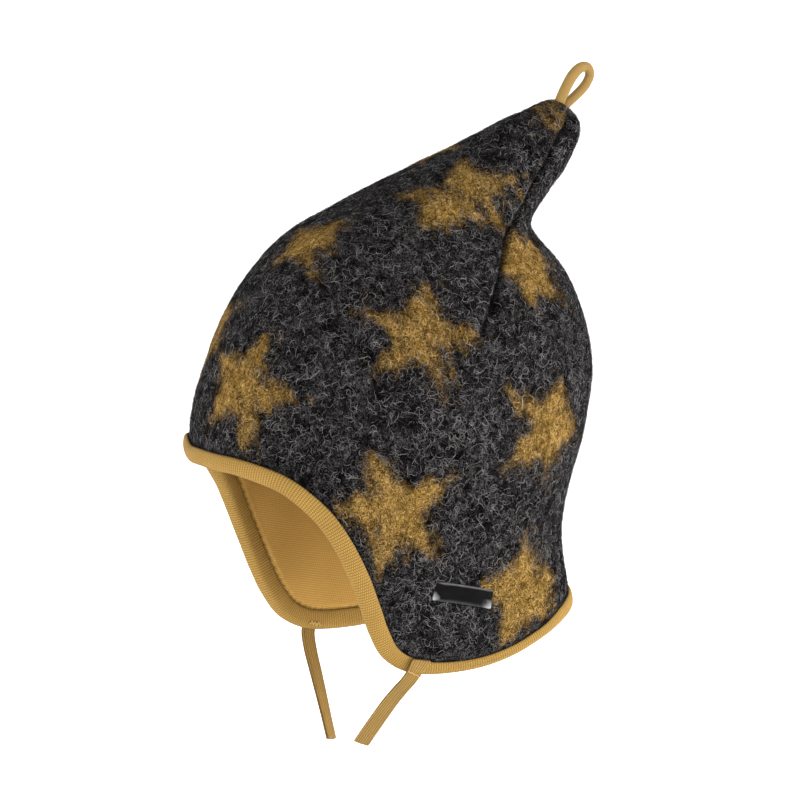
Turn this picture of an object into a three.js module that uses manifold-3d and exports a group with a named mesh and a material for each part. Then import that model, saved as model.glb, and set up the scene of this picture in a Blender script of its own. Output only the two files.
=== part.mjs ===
// Pointed cap of boiled wool for a small child: a round crown that runs into a cone leaning back,
// a face opening, two cheek flaps with ties, a bound rim, a jersey lining and a loop to hang it by.
// Millimetres and degrees. +Z is up, the face looks along -Y and the wearer's left is +X.
// The origin is the middle of the head hollow, level with the rim over the brow.

import * as THREE from 'three';
import { mergeVertices } from 'three/addons/utils/BufferGeometryUtils.js';
import loadManifold from 'manifold-3d';

// Cloth
const FELT_WALL = 2.5;
const LINING_WALL = 1.0;
const STRIP_WALL = 1.2;
const GAP = 0.3;
const LINING_GAP = 0.5;
const BINDING_GAP = 0.4;

// Faces of the crown and lining: depth below the felt's outer face, rows above the darts' lower end,
// and the section in the cone that closes the face
const SECTION_SQUARENESS = 2.25;
const LINING_DEPTH = FELT_WALL + LINING_GAP;
const FACES = {
  feltOutside: { depth: 0, rows: 13, close: 16 },
  feltInside: { depth: FELT_WALL, rows: 11, close: 13.85 },
  liningOutside: { depth: LINING_DEPTH, rows: 9, close: 12.35 },
  liningInside: { depth: LINING_DEPTH + LINING_WALL, rows: 9, close: 12.35 },
  loopSeat: { depth: -GAP, rows: 13, close: 16 },
};

// Binding: the strip is folded over the cut edge, with one leg outside and one inside
const INNER_LEG = 8.0;
const FOLD_ROUND = 1.5;
const LEG_BEVEL = 0.4;
const BAND = 9.8;

// Darts: a sewn groove on each side, from the cone's tip to the side of the head
const DART_END = 5.6;
const DART_STEP = 1.3;
const DART_DEPTH = 1.6;
const DART_LIP = 3.0;
const DART_LIP_MOST = 14;
const DART_RUN_IN = 1.5;

// Right cheek: its front lies a little back over the brow's end and a little forward below it.
// The pull is read every CHEEK.step from CHEEK.low up, and fades between the given sides and depths.
const CHEEK = { low: -86, step: 12, side: [20, 45], depth: [5, 40] };

// Right end of the brow: it is lifted between two sides, and the lift fades backward, upward and downward
const BROW = { lift: 4, near: [10, 30], far: [34, 56], depth: [45, 70], height: [14, 45] };

// Label: a flat tab on the left flap
const LABEL = { around: 95, level: 1.63, length: 27, width: 8, thick: 0.8, tilt: -14, columns: 7, rows: 3 };

// Ties and loop: flat strips
const TIE = { width: 6.5, thick: 2.4, corner: 0.8, steps: 14, around: 83, level: 0.72 };
const LOOP = { width: 4.6, thick: 3.2, sides: 10, steps: 26 };

// Grid of the cloth: half the columns, the dart's own column, and rows below and above the dart's end
const HALF_COLUMNS = 26;
const DART_COLUMN = 15;
const LOWER_ROWS = 6;
const UPPER_STEP = 0.75;

// Nearness that makes two points one, and halvings in the search for a height
const MERGE_REACH = 1e-4;
const HALVINGS = 40;

const FINISHES = {
  felt: { color: 0x3b3a3c, roughness: 0.95, metalness: 0 },
  lining: { color: 0xb08a3e, roughness: 0.9, metalness: 0 },
  strip: { color: 0xc99a45, roughness: 0.85, metalness: 0 },
  loop: { color: 0xd0a85a, roughness: 0.85, metalness: 0 },
  label: { color: 0x161616, roughness: 0.35, metalness: 0 },
};

// Turns rows of numbers into rows with named columns
function table(columns, rows) {
  return rows.map((row) => Object.fromEntries(columns.map((name, i) => [name, row[i]])));
}

// Sections of the felt's outer face, from below the flaps to the tip
const SECTIONS = table(
  ['frontY', 'frontZ', 'backY', 'backZ', 'halfWidth'],
  [
    [-72, -98, 82, -98, 52],
    [-78, -70, 79, -70, 59],
    [-83, -40, 73, -40, 65],
    [-85, -15, 75.5, -15, 69],
    [-85, 10, 83, 10, 71],
    [-80, 35, 87, 35, 70],
    [-72, 58, 84.5, 58, 63],
    [-60, 78, 75.5, 78, 53],
    [-43, 95, 62, 92.5, 42],
    [-13.5, 110, 60.5, 97.5, 35],
    [15, 122.5, 64.5, 102.5, 29],
    [35.5, 131.5, 71.5, 110, 23],
    [51.5, 139.3, 79, 118, 17.5],
    [62, 143.5, 84.5, 126, 13.5],
    [69.5, 147, 88, 132, 10],
    [77, 148.5, 88.5, 138.5, 6.5],
    [84, 145, 84, 145, 0],
  ],
);

// Lower edge of the bound rim, from the brow round the left flap to the nape
const RIM = table(
  ['around', 'height', 'outerLeg'],
  [
    [0, 1.5, 6.6],
    [10, 0, 6.6],
    [19.5, -1, 6.7],
    [29, -3, 6.9],
    [38, -6.5, 7.1],
    [46, -13, 7.3],
    [52.5, -21, 7.4],
    [58, -31.5, 7.4],
    [62, -43, 7.4],
    [64.5, -55, 7.4],
    [66.5, -66, 7.4],
    [70, -76, 7.2],
    [77, -82.5, 6.4],
    [86, -84.5, 5.4],
    [97, -83.5, 4.9],
    [109, -80, 5],
    [123, -74.5, 5.4],
    [140, -69, 5.8],
    [160, -66, 5.8],
    [180, -65, 5.7],
  ],
);

// Line of a dart, every DART_STEP sections from DART_END up to the tip
const DART = table(['around'], [[91.5], [102], [118.5], [116.5], [106.5], [96], [90], [86], [84]]);

// Pull of the right cheek along +Y, every CHEEK.step in height
const CHEEK_PULL = table(['pull'], [[0], [-0.8], [-1.6], [-1.6], [-0.9], [0.4], [2.2], [2.6], [0.6], [0]]);

// Routes of the ties, from the tab sewn on the binding to the cut end under the chin
const TIE_ROUTES = {
  tie_left: table(
    ['x', 'y', 'z'],
    [
      [59.8, -11.6, -77],
      [59.1, -14, -81],
      [57.4, -16.4, -85.4],
      [52.2, -17.6, -90],
      [43.5, -18.4, -96.8],
      [34.5, -19, -104.2],
      [25, -19.6, -112],
      [16, -20.2, -119.4],
    ],
  ),
  tie_right: table(
    ['x', 'y', 'z'],
    [
      [-60.3, -8.6, -77.2],
      [-59.6, -11, -81.2],
      [-58, -12.9, -85.8],
      [-52.4, -14.2, -92.4],
      [-45, -15.2, -99.8],
      [-36, -16.6, -108],
      [-27, -18.2, -115.8],
      [-18, -19.8, -123.4],
    ],
  ),
};

// Middle line of the loop, whose two ends lie side by side inside the felt of the tip
const LOOP_ROUTE = table(
  ['x', 'y', 'z'],
  [
    [1.8, 78, 144],
    [1.8, 79.8, 148.2],
    [1.6, 82.4, 152.8],
    [1.2, 85.4, 157.2],
    [0.6, 89, 160.3],
    [-0.2, 92.4, 160.8],
    [-0.8, 94, 158.2],
    [-1.3, 92.7, 154.7],
    [-1.6, 89.6, 151.3],
    [-1.8, 86, 148.2],
    [-1.8, 82, 144.6],
  ],
);

// Smooth curve through the rows of a table, at a place counted in rows
function rowAt(rows, place) {
  const last = rows.length - 1;
  const start = THREE.MathUtils.clamp(Math.floor(place), 0, last - 1);
  const part = place - start;
  const [a, b, c, d] = [-1, 0, 1, 2].map((step) => rows[THREE.MathUtils.clamp(start + step, 0, last)]);
  const row = {};
  for (const name of Object.keys(b)) {
    const slope = c[name] - a[name];
    const square = 2 * a[name] - 5 * b[name] + 4 * c[name] - d[name];
    const cube = 3 * b[name] - a[name] - 3 * c[name] + d[name];
    row[name] = b[name] + 0.5 * part * (slope + part * (square + part * cube));
  }
  return row;
}

// Pull of the right cheek at a point
function cheekPull({ x, y, z }) {
  const place = THREE.MathUtils.clamp((z - CHEEK.low) / CHEEK.step, 0, CHEEK_PULL.length - 1);
  const aside = THREE.MathUtils.smoothstep(-x, ...CHEEK.side);
  const ahead = THREE.MathUtils.smoothstep(-y, ...CHEEK.depth);
  return aside * ahead * rowAt(CHEEK_PULL, place).pull;
}

// Lift of the brow's right end at a point
function browLift({ x, y, z }) {
  const { smoothstep } = THREE.MathUtils;
  const aside = smoothstep(-x, ...BROW.near) * (1 - smoothstep(-x, ...BROW.far));
  return BROW.lift * aside * smoothstep(-y, ...BROW.depth) * (1 - smoothstep(Math.abs(z), ...BROW.height));
}

// Point of the felt's outer face: around is 0 at the front, 90 on the left, 180 at the back
function capPoint(around, level) {
  const row = rowAt(SECTIONS, level);
  const angle = THREE.MathUtils.degToRad(around);
  const flatten = (value) => Math.sign(value) * Math.abs(value) ** (2 / SECTION_SQUARENESS);
  const forward = (1 + flatten(Math.cos(angle))) / 2;
  const point = new THREE.Vector3(
    row.halfWidth * flatten(Math.sin(angle)),
    THREE.MathUtils.lerp(row.backY, row.frontY, forward),
    THREE.MathUtils.lerp(row.backZ, row.frontZ, forward),
  );
  const pull = cheekPull(point);
  const lift = browLift(point);
  return point.add(new THREE.Vector3(0, pull, lift));
}

// The two directions of the face per degree and per section, and its outward normal
function capFrame(around, level) {
  const turn = 0.5;
  const climb = 0.01;
  const across = capPoint(around + turn, level).sub(capPoint(around - turn, level));
  const up = capPoint(around, level + climb).sub(capPoint(around, level - climb));
  across.divideScalar(2 * turn);
  up.divideScalar(2 * climb);
  return { across, up, normal: across.clone().cross(up).normalize() };
}

// Point off the felt's outer face, outward for a positive distance
function offCap(place, distance) {
  const { normal } = capFrame(place.around, place.level);
  return capPoint(place.around, place.level).addScaledVector(normal, distance);
}

// Place reached by going a way along the face from another place
function walk(place, direction, distance) {
  const { across, up } = capFrame(place.around, place.level);
  const mixed = across.dot(up);
  const size = across.lengthSq() * up.lengthSq() - mixed * mixed;
  const alongAcross = direction.dot(across);
  const alongUp = direction.dot(up);
  return {
    around: place.around + (distance * (alongAcross * up.lengthSq() - alongUp * mixed)) / size,
    level: place.level + (distance * (alongUp * across.lengthSq() - alongAcross * mixed)) / size,
  };
}

// Section whose height is the given one, on the upright part of the cap
function levelOfHeight(height) {
  let low = 0;
  let high = DART_END;
  for (let i = 0; i < HALVINGS; i += 1) {
    const middle = (low + high) / 2;
    if (rowAt(SECTIONS, middle).frontZ < height) low = middle;
    else high = middle;
  }
  return (low + high) / 2;
}

// Place on the rim's lower edge, by half column
function rimEdge(half) {
  const row = rowAt(RIM, (half * (RIM.length - 1)) / HALF_COLUMNS);
  return { around: row.around, level: levelOfHeight(row.height), outerLeg: row.outerLeg };
}

// Direction in the cloth that leads from the rim straight into it, by half column
function intoCloth(half) {
  const edge = rimEdge(half);
  const step = 0.2;
  const before = rimEdge(Math.max(half - step, 0));
  const after = rimEdge(Math.min(half + step, HALF_COLUMNS));
  const along = capPoint(after.around, after.level).sub(capPoint(before.around, before.level));
  const { normal } = capFrame(edge.around, edge.level);
  return normal.clone().cross(along).normalize();
}

// Place at a distance into the cloth from the rim's lower edge
function rimPlace(half, distance) {
  return walk(rimEdge(half), intoCloth(half), distance);
}

// Angle of a dart at a section
function dartAround(level) {
  return rowAt(DART, (level - DART_END) / DART_STEP).around;
}

// Angle of a half column at a section above the darts' lower end
function upperAround(half, level) {
  const dart = dartAround(level);
  const { halfWidth } = rowAt(SECTIONS, level);
  const lip = Math.min(THREE.MathUtils.radToDeg(DART_LIP / Math.max(halfWidth, 1)), DART_LIP_MOST);
  if (half === DART_COLUMN) return dart;
  if (half < DART_COLUMN) return ((dart - lip) * half) / (DART_COLUMN - 1);
  const share = (half - DART_COLUMN - 1) / (HALF_COLUMNS - DART_COLUMN - 1);
  return THREE.MathUtils.lerp(dart + lip, 180, share);
}

// Depth of the dart's groove: full along the seam, running out at both ends
function dartDepth(level) {
  const tip = SECTIONS.length - 1;
  const start = THREE.MathUtils.smoothstep(level, DART_END, DART_END + DART_RUN_IN);
  return DART_DEPTH * start * (1 - THREE.MathUtils.smoothstep(level, tip - 2 * DART_RUN_IN, tip - 1));
}

// Places of one half column, from the cut edge to some rows above the darts' lower end
function columnPlaces(half, rows) {
  const cut = rimPlace(half, STRIP_WALL + GAP);
  const band = rimPlace(half, BAND);
  const places = [cut, band];
  const join = upperAround(half, DART_END);
  for (let row = 1; row <= LOWER_ROWS; row += 1) {
    const share = row / LOWER_ROWS;
    places.push({
      around: THREE.MathUtils.lerp(band.around, join, share),
      level: THREE.MathUtils.lerp(band.level, DART_END, share),
    });
  }
  for (let row = 1; row <= rows; row += 1) {
    const level = DART_END + row * UPPER_STEP;
    places.push({ around: upperAround(half, level), level });
  }
  return places;
}

// Rings of points of one face of the cloth, each ring once round the cap
function clothRings({ depth, rows }) {
  const columns = [];
  for (let column = 0; column < 2 * HALF_COLUMNS; column += 1) {
    const half = column <= HALF_COLUMNS ? column : 2 * HALF_COLUMNS - column;
    const side = column <= HALF_COLUMNS ? 1 : -1;
    columns.push(
      columnPlaces(half, rows).map((place) => {
        const groove = half === DART_COLUMN ? dartDepth(place.level) : 0;
        return offCap({ around: side * place.around, level: place.level }, -depth - groove);
      }),
    );
  }
  return columns[0].map((_, row) => columns.map((points) => points[row]));
}

// Solid from points and triangles, turned so that its faces point out
function solid(points, triangles) {
  const volume = triangles.reduce((sum, [a, b, c]) => {
    return sum + points[a].dot(points[b].clone().cross(points[c]));
  }, 0);
  const outward = volume > 0 ? triangles : triangles.map(([a, b, c]) => [a, c, b]);
  const geometry = new THREE.BufferGeometry().setFromPoints(points);
  geometry.setIndex(outward.flat());
  return geometry;
}

// Triangles between two closed rings of the same length, given by the places of their first points
function strip(first, second, count) {
  const triangles = [];
  for (let i = 0; i < count; i += 1) {
    const next = (i + 1) % count;
    triangles.push([first + i, first + next, second + next], [first + i, second + next, second + i]);
  }
  return triangles;
}

// Point on the cone's axis that closes a face, as deep below the middle of its section as the face is
function closingPoint({ depth, close }) {
  const middle = (level) => capPoint(0, level).lerp(capPoint(180, level), 0.5);
  const axis = middle(close).sub(middle(close - 1)).normalize();
  return middle(close).addScaledVector(axis, -depth);
}

// Closed cloth wall: an outer and an inner face that join at the cut edge and close in the cone
function clothWall(outerFace, innerFace) {
  const points = [];
  const triangles = [];
  const firstRings = [outerFace, innerFace].map((face, inside) => {
    const first = points.length;
    const rings = clothRings(face);
    const count = rings[0].length;
    const pole = first + rings.length * count;
    points.push(...rings.flat(), closingPoint(face));
    const cover = rings.slice(1).flatMap((_, ring) => {
      return strip(first + ring * count, first + (ring + 1) * count, count);
    });
    for (let i = 0; i < count; i += 1) {
      cover.push([pole - count + i, pole - count + ((i + 1) % count), pole]);
    }
    triangles.push(...(inside ? cover.map(([a, b, c]) => [a, c, b]) : cover));
    return first;
  });
  triangles.push(...strip(firstRings[1], firstRings[0], 2 * HALF_COLUMNS));
  return solid(points, triangles);
}

// Section of the binding: distance off the felt and distance into the cloth, round the strip
function bindingSection(outerLeg) {
  const outerIn = GAP;
  const outerOut = GAP + STRIP_WALL;
  const innerIn = -(LINING_DEPTH + LINING_WALL + BINDING_GAP);
  const innerOut = innerIn - STRIP_WALL;
  const fold = (outerIn + innerIn) / 2;
  return table(
    ['off', 'into'],
    [
      [outerIn, outerLeg],
      [outerOut, outerLeg - LEG_BEVEL],
      [outerOut, FOLD_ROUND],
      [outerIn, FOLD_ROUND / 4],
      [fold, 0],
      [innerIn, FOLD_ROUND / 4],
      [innerOut, FOLD_ROUND],
      [innerOut, INNER_LEG - LEG_BEVEL],
      [innerIn, INNER_LEG],
      [innerIn, STRIP_WALL],
      [outerIn, STRIP_WALL],
    ],
  );
}

// Ribbed strip round the whole rim
function bindingGeometry() {
  const rings = [];
  for (let column = 0; column < 2 * HALF_COLUMNS; column += 1) {
    const half = column <= HALF_COLUMNS ? column : 2 * HALF_COLUMNS - column;
    const side = column <= HALF_COLUMNS ? 1 : -1;
    rings.push(
      bindingSection(rimEdge(half).outerLeg).map(({ off, into }) => {
        const place = rimPlace(half, into);
        return offCap({ around: side * place.around, level: place.level }, off);
      }),
    );
  }
  const count = rings[0].length;
  const triangles = rings.flatMap((_, ring) => {
    return strip(ring * count, ((ring + 1) % rings.length) * count, count);
  });
  return solid(rings.flat(), triangles);
}

// Label: a thin curved tab that follows the felt
function labelGeometry() {
  const { columns, rows } = LABEL;
  const tilt = THREE.MathUtils.degToRad(LABEL.tilt);
  const alongLabel = new THREE.Vector3(0, Math.cos(tilt), Math.sin(tilt));
  const acrossLabel = new THREE.Vector3(0, -Math.sin(tilt), Math.cos(tilt));
  const points = [];
  for (const height of [GAP, GAP + LABEL.thick]) {
    for (let row = 0; row < rows; row += 1) {
      for (let column = 0; column < columns; column += 1) {
        const aside = walk(LABEL, alongLabel, (column / (columns - 1) - 0.5) * LABEL.length);
        const place = walk(aside, acrossLabel, (row / (rows - 1) - 0.5) * LABEL.width);
        points.push(offCap(place, height));
      }
    }
  }
  const layer = rows * columns;
  const triangles = [];
  const quad = (a, b, c, d) => triangles.push([a, b, c], [a, c, d]);
  for (let row = 0; row + 1 < rows; row += 1) {
    for (let column = 0; column + 1 < columns; column += 1) {
      const a = row * columns + column;
      quad(a, a + columns, a + columns + 1, a + 1);
      quad(a + layer, a + layer + 1, a + layer + columns + 1, a + layer + columns);
    }
  }
  for (let column = 0; column + 1 < columns; column += 1) {
    const top = (rows - 1) * columns + column;
    quad(column, column + 1, column + 1 + layer, column + layer);
    quad(top + 1, top, top + layer, top + 1 + layer);
  }
  for (let row = 0; row + 1 < rows; row += 1) {
    const left = row * columns;
    const right = left + columns - 1;
    quad(left + columns, left, left + layer, left + columns + layer);
    quad(right, right + columns, right + columns + layer, right + layer);
  }
  return solid(points, triangles);
}

// Flat section with cut corners
function flatShape({ width, thick, corner }) {
  const w = width / 2;
  const t = thick / 2;
  return new THREE.Shape([
    new THREE.Vector2(w, -t + corner),
    new THREE.Vector2(w, t - corner),
    new THREE.Vector2(w - corner, t),
    new THREE.Vector2(-w + corner, t),
    new THREE.Vector2(-w, t - corner),
    new THREE.Vector2(-w, -t + corner),
    new THREE.Vector2(-w + corner, -t),
    new THREE.Vector2(w - corner, -t),
  ]);
}

// Strip carried along a curve, with only its positions kept and its shared points merged
function carried(shape, path, steps) {
  const geometry = new THREE.ExtrudeGeometry(shape, { steps, extrudePath: path, bevelEnabled: false });
  geometry.deleteAttribute('normal');
  geometry.deleteAttribute('uv');
  return mergeVertices(geometry, MERGE_REACH);
}

// Tie: its flat side lies on the binding at the tab and turns with the route from there
function tieGeometry(route) {
  const path = new THREE.CatmullRomCurve3(route.map(({ x, y, z }) => new THREE.Vector3(x, y, z)));
  const { normals, binormals, tangents } = path.computeFrenetFrames(TIE.steps, false);
  const { normal } = capFrame(Math.sign(route[0].x) * TIE.around, TIE.level);
  const wide = tangents[0].clone().cross(normal);
  const turn = Math.atan2(wide.dot(binormals[0]), wide.dot(normals[0]));
  const turned = flatShape(TIE).getPoints().map((p) => p.rotateAround(new THREE.Vector2(), turn));
  return carried(new THREE.Shape(turned), path, TIE.steps);
}

// Shapes as solids that can be cut
const manifold = await loadManifold();
manifold.setup();

function toSolid(geometry) {
  return new manifold.Manifold(
    new manifold.Mesh({
      numProp: 3,
      vertProperties: Float32Array.from(geometry.attributes.position.array),
      triVerts: Uint32Array.from(geometry.index.array),
    }),
  );
}

function fromSolid(body) {
  const { vertProperties, triVerts } = body.getMesh();
  const geometry = new THREE.BufferGeometry();
  geometry.setAttribute('position', new THREE.BufferAttribute(Float32Array.from(vertProperties), 3));
  geometry.setIndex(Array.from(triVerts));
  return geometry;
}

// Loop: a rounded strip that stands on the tip, cut to the felt's face
function loopGeometry() {
  const path = new THREE.CatmullRomCurve3(LOOP_ROUTE.map(({ x, y, z }) => new THREE.Vector3(x, y, z)));
  const oval = [];
  for (let side = 0; side < LOOP.sides; side += 1) {
    const angle = (2 * Math.PI * side) / LOOP.sides;
    oval.push(new THREE.Vector2((LOOP.thick / 2) * Math.cos(angle), (LOOP.width / 2) * Math.sin(angle)));
  }
  const strap = carried(new THREE.Shape(oval), path, LOOP.steps);
  const seat = clothWall(FACES.loopSeat, FACES.feltInside);
  return fromSolid(toSolid(strap).subtract(toSolid(seat)));
}

// Named mesh with its own finish
function piece(name, geometry, finish) {
  geometry.computeVertexNormals();
  const mesh = new THREE.Mesh(geometry, new THREE.MeshStandardMaterial(finish));
  mesh.name = name;
  return mesh;
}

const cap = new THREE.Group();
cap.name = 'pointed_cap';
cap.add(piece('felt_crown', clothWall(FACES.feltOutside, FACES.feltInside), FINISHES.felt));
cap.add(piece('lining', clothWall(FACES.liningOutside, FACES.liningInside), FINISHES.lining));
cap.add(piece('rim_binding', bindingGeometry(), FINISHES.strip));
cap.add(piece('label', labelGeometry(), FINISHES.label));
cap.add(piece('tip_loop', loopGeometry(), FINISHES.loop));
for (const [name, route] of Object.entries(TIE_ROUTES)) {
  cap.add(piece(name, tieGeometry(route), FINISHES.strip));
}

export default cap;
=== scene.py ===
"""Dressed model of a small child's pointed cap in boiled wool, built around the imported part.

Sizes are in millimetres and degrees unless a name says otherwise, and meshes are put down in metres.
The frame is the part's own: +Z is up, the face looks along -Y and the wearer's left is +X.
"""

import logging
from collections.abc import Callable
from dataclasses import dataclass, field
from enum import Enum, IntEnum
from functools import reduce
from typing import Union

import bmesh
import bpy
import numpy as np
from mathutils import Matrix, Vector


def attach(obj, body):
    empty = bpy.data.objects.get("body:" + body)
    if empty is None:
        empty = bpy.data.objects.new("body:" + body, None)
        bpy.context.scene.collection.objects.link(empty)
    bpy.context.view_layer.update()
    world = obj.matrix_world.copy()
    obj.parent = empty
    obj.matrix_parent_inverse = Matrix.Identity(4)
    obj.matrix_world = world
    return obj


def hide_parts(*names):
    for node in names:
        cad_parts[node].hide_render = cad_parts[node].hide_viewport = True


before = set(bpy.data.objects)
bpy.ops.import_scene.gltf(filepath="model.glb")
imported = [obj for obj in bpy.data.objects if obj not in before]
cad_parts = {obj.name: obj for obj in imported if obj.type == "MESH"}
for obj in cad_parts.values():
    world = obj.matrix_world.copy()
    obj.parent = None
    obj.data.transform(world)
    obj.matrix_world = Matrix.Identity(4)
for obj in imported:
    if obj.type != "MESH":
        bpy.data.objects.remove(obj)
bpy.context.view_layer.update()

LOG = logging.getLogger("pointed_cap")
MM = 0.001
BODY = "root"
ROUTE = ("x", "y", "z")
WAVE_SPREAD = (0.7, 1.4)
Array = np.ndarray
Span = tuple[float, float]
Colour = tuple[float, float, float, float]


class Seed(IntEnum):
    """Seeds of the random draws. Each set of fibres adds its own number to the seed of the fibres."""

    LUMPS = 41
    SMALL_LUMPS = 42
    LINING = 46
    GATHERS = 47
    FIBRES = 51
    STAR_WANDER = 61
    STAR_RAGGED = 62


def srgb(red: float, green: float, blue: float) -> Colour:
    """Linear colour for a picture colour from 0 to 255: the usual power curve of 2.4 with an offset.

    Args:
        red, green, blue: picture values from 0 to 255.

    Returns:
        The linear colour with full opacity.
    """
    value = np.array([red, green, blue]) / 255
    linear = np.where(value <= 0.04045, value / 12.92, ((value + 0.055) / 1.055) ** 2.4)
    return (float(linear[0]), float(linear[1]), float(linear[2]), 1.0)


def smoothstep(low: Array, high: Array, value: Array) -> Array:
    """Smooth rise from 0 at low to 1 at high: t squared times (3 - 2t)."""
    share = np.clip((value - low) / (high - low), 0, 1)
    return share * share * (3 - 2 * share)


def lerp(first: Array, second: Array, share: Array) -> Array:
    """Straight mix of two values or arrays."""
    return first + (second - first) * share


def unit(vectors: Array) -> Array:
    """Vectors along the last axis brought to length one."""
    return vectors / np.maximum(np.linalg.norm(vectors, axis=-1, keepdims=True), 1e-12)


def hill(value: Array, middle: Array, width: float) -> Array:
    """Bell of height 1 about a middle: the exponential of minus the square of the distance in widths."""
    return np.exp(-(((value - middle) / width) ** 2))


def run_length(points: Array) -> Array:
    """Distance along a line at each of its points, from 0 at the first."""
    return np.concatenate([[0], np.cumsum(np.linalg.norm(np.diff(points, axis=0), axis=-1))])


def ringed(grid: Array) -> Array:
    """A grid with its first column again at the end, which closes its rings."""
    return np.concatenate([grid, grid[:, :1]], axis=1)


def ended(rows: Array) -> Array:
    """Rows with the first and the last one doubled."""
    return np.concatenate([rows[:1], rows, rows[-1:]])


def waves(points: Array, pitch: float, seed: int, count: int = 6) -> Array:
    """Soft random relief: the mean of sines along random directions, about -1 to 1.

    Args:
        points: places, with three numbers on the last axis.
        pitch: the mean length of a wave.
        seed: picks the directions and phases.
        count: how many sines are added.

    Returns:
        One number for each place.
    """
    rng = np.random.default_rng(seed)
    directions = unit(rng.normal(size=(count, 3)))
    ways = directions * (2 * np.pi / (pitch * rng.uniform(*WAVE_SPREAD, (count, 1))))
    phases = rng.uniform(0, 2 * np.pi, count)
    return np.sin(points @ ways.T + phases).sum(axis=-1) / np.sqrt(count)


class Rows:
    """A short table with named columns, read as a smooth curve through its rows."""

    def __init__(self, columns: tuple[str, ...], rows: list[tuple[float, ...]]) -> None:
        """Keeps the table as one array, and the place of each column's name.

        Args:
            columns: the columns' names.
            rows: the values.
        """
        self.places = {name: place for place, name in enumerate(columns)}
        self.values = np.array(rows, dtype=float)
        self.last = len(rows) - 1

    def at(self, place: Array, *columns: str) -> Array:
        """Catmull-Rom curve through a column's rows, with the end rows doubled.

        Args:
            place: places counted in rows.
            columns: the columns that are read.

        Returns:
            The values, with several columns along a new last axis.
        """
        place = np.asarray(place, dtype=float)
        row = np.clip(np.floor(place).astype(int), 0, self.last - 1)
        part = (place - row)[..., None]
        picked = [self.places[name] for name in columns]
        near = [self.values[np.clip(row + step, 0, self.last)][..., picked] for step in (-1, 0, 1, 2)]
        before, start, end, after = near
        square = 2 * before - 5 * start + 4 * end - after
        cube = 3 * start - before - 3 * end + after
        value = start + 0.5 * part * (end - before + part * (square + part * cube))
        return value if len(columns) > 1 else value[..., 0]


SECTIONS = Rows(
    ("front_y", "front_z", "back_y", "back_z", "half_width"),
    [
        (-72, -98, 82, -98, 52),
        (-78, -70, 79, -70, 59),
        (-83, -40, 73, -40, 65),
        (-85, -15, 75.5, -15, 69),
        (-85, 10, 83, 10, 71),
        (-80, 35, 87, 35, 70),
        (-72, 58, 84.5, 58, 63),
        (-60, 78, 75.5, 78, 53),
        (-43, 95, 62, 92.5, 42),
        (-13.5, 110, 60.5, 97.5, 35),
        (15, 122.5, 64.5, 102.5, 29),
        (35.5, 131.5, 71.5, 110, 23),
        (51.5, 139.3, 79, 118, 17.5),
        (62, 143.5, 84.5, 126, 13.5),
        (69.5, 147, 88, 132, 10),
        (77, 148.5, 88.5, 138.5, 6.5),
        (84, 145, 84, 145, 0),
    ],
)

RIM = Rows(
    ("around", "height", "outer_leg"),
    [
        (0, -0.2, 7.2),
        (10, -0.5, 7.2),
        (19.5, -1, 7.3),
        (29, -3, 7.5),
        (38, -6.5, 7.7),
        (46, -13, 7.9),
        (52.5, -21, 8),
        (58, -31.5, 8),
        (62, -43, 8),
        (64.5, -55, 8),
        (66.5, -66, 7.9),
        (70, -76, 7.6),
        (77, -82.5, 6.7),
        (86, -84.5, 5.5),
        (97, -83.5, 4.9),
        (109, -80, 5),
        (123, -74.5, 5.5),
        (140, -69, 6.6),
        (160, -66, 7.4),
        (180, -65, 7.4),
    ],
)

DART = Rows(("around",), [(91.5,), (102,), (118.5,), (116.5,), (106.5,), (96,), (90,), (86,), (84,)])

CHEEK = Rows(("pull",), [(0,), (-0.8,), (-1.6,), (-1.6,), (-0.9,), (0.4,), (2.2,), (2.6,), (0.6,), (0,)])


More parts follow.
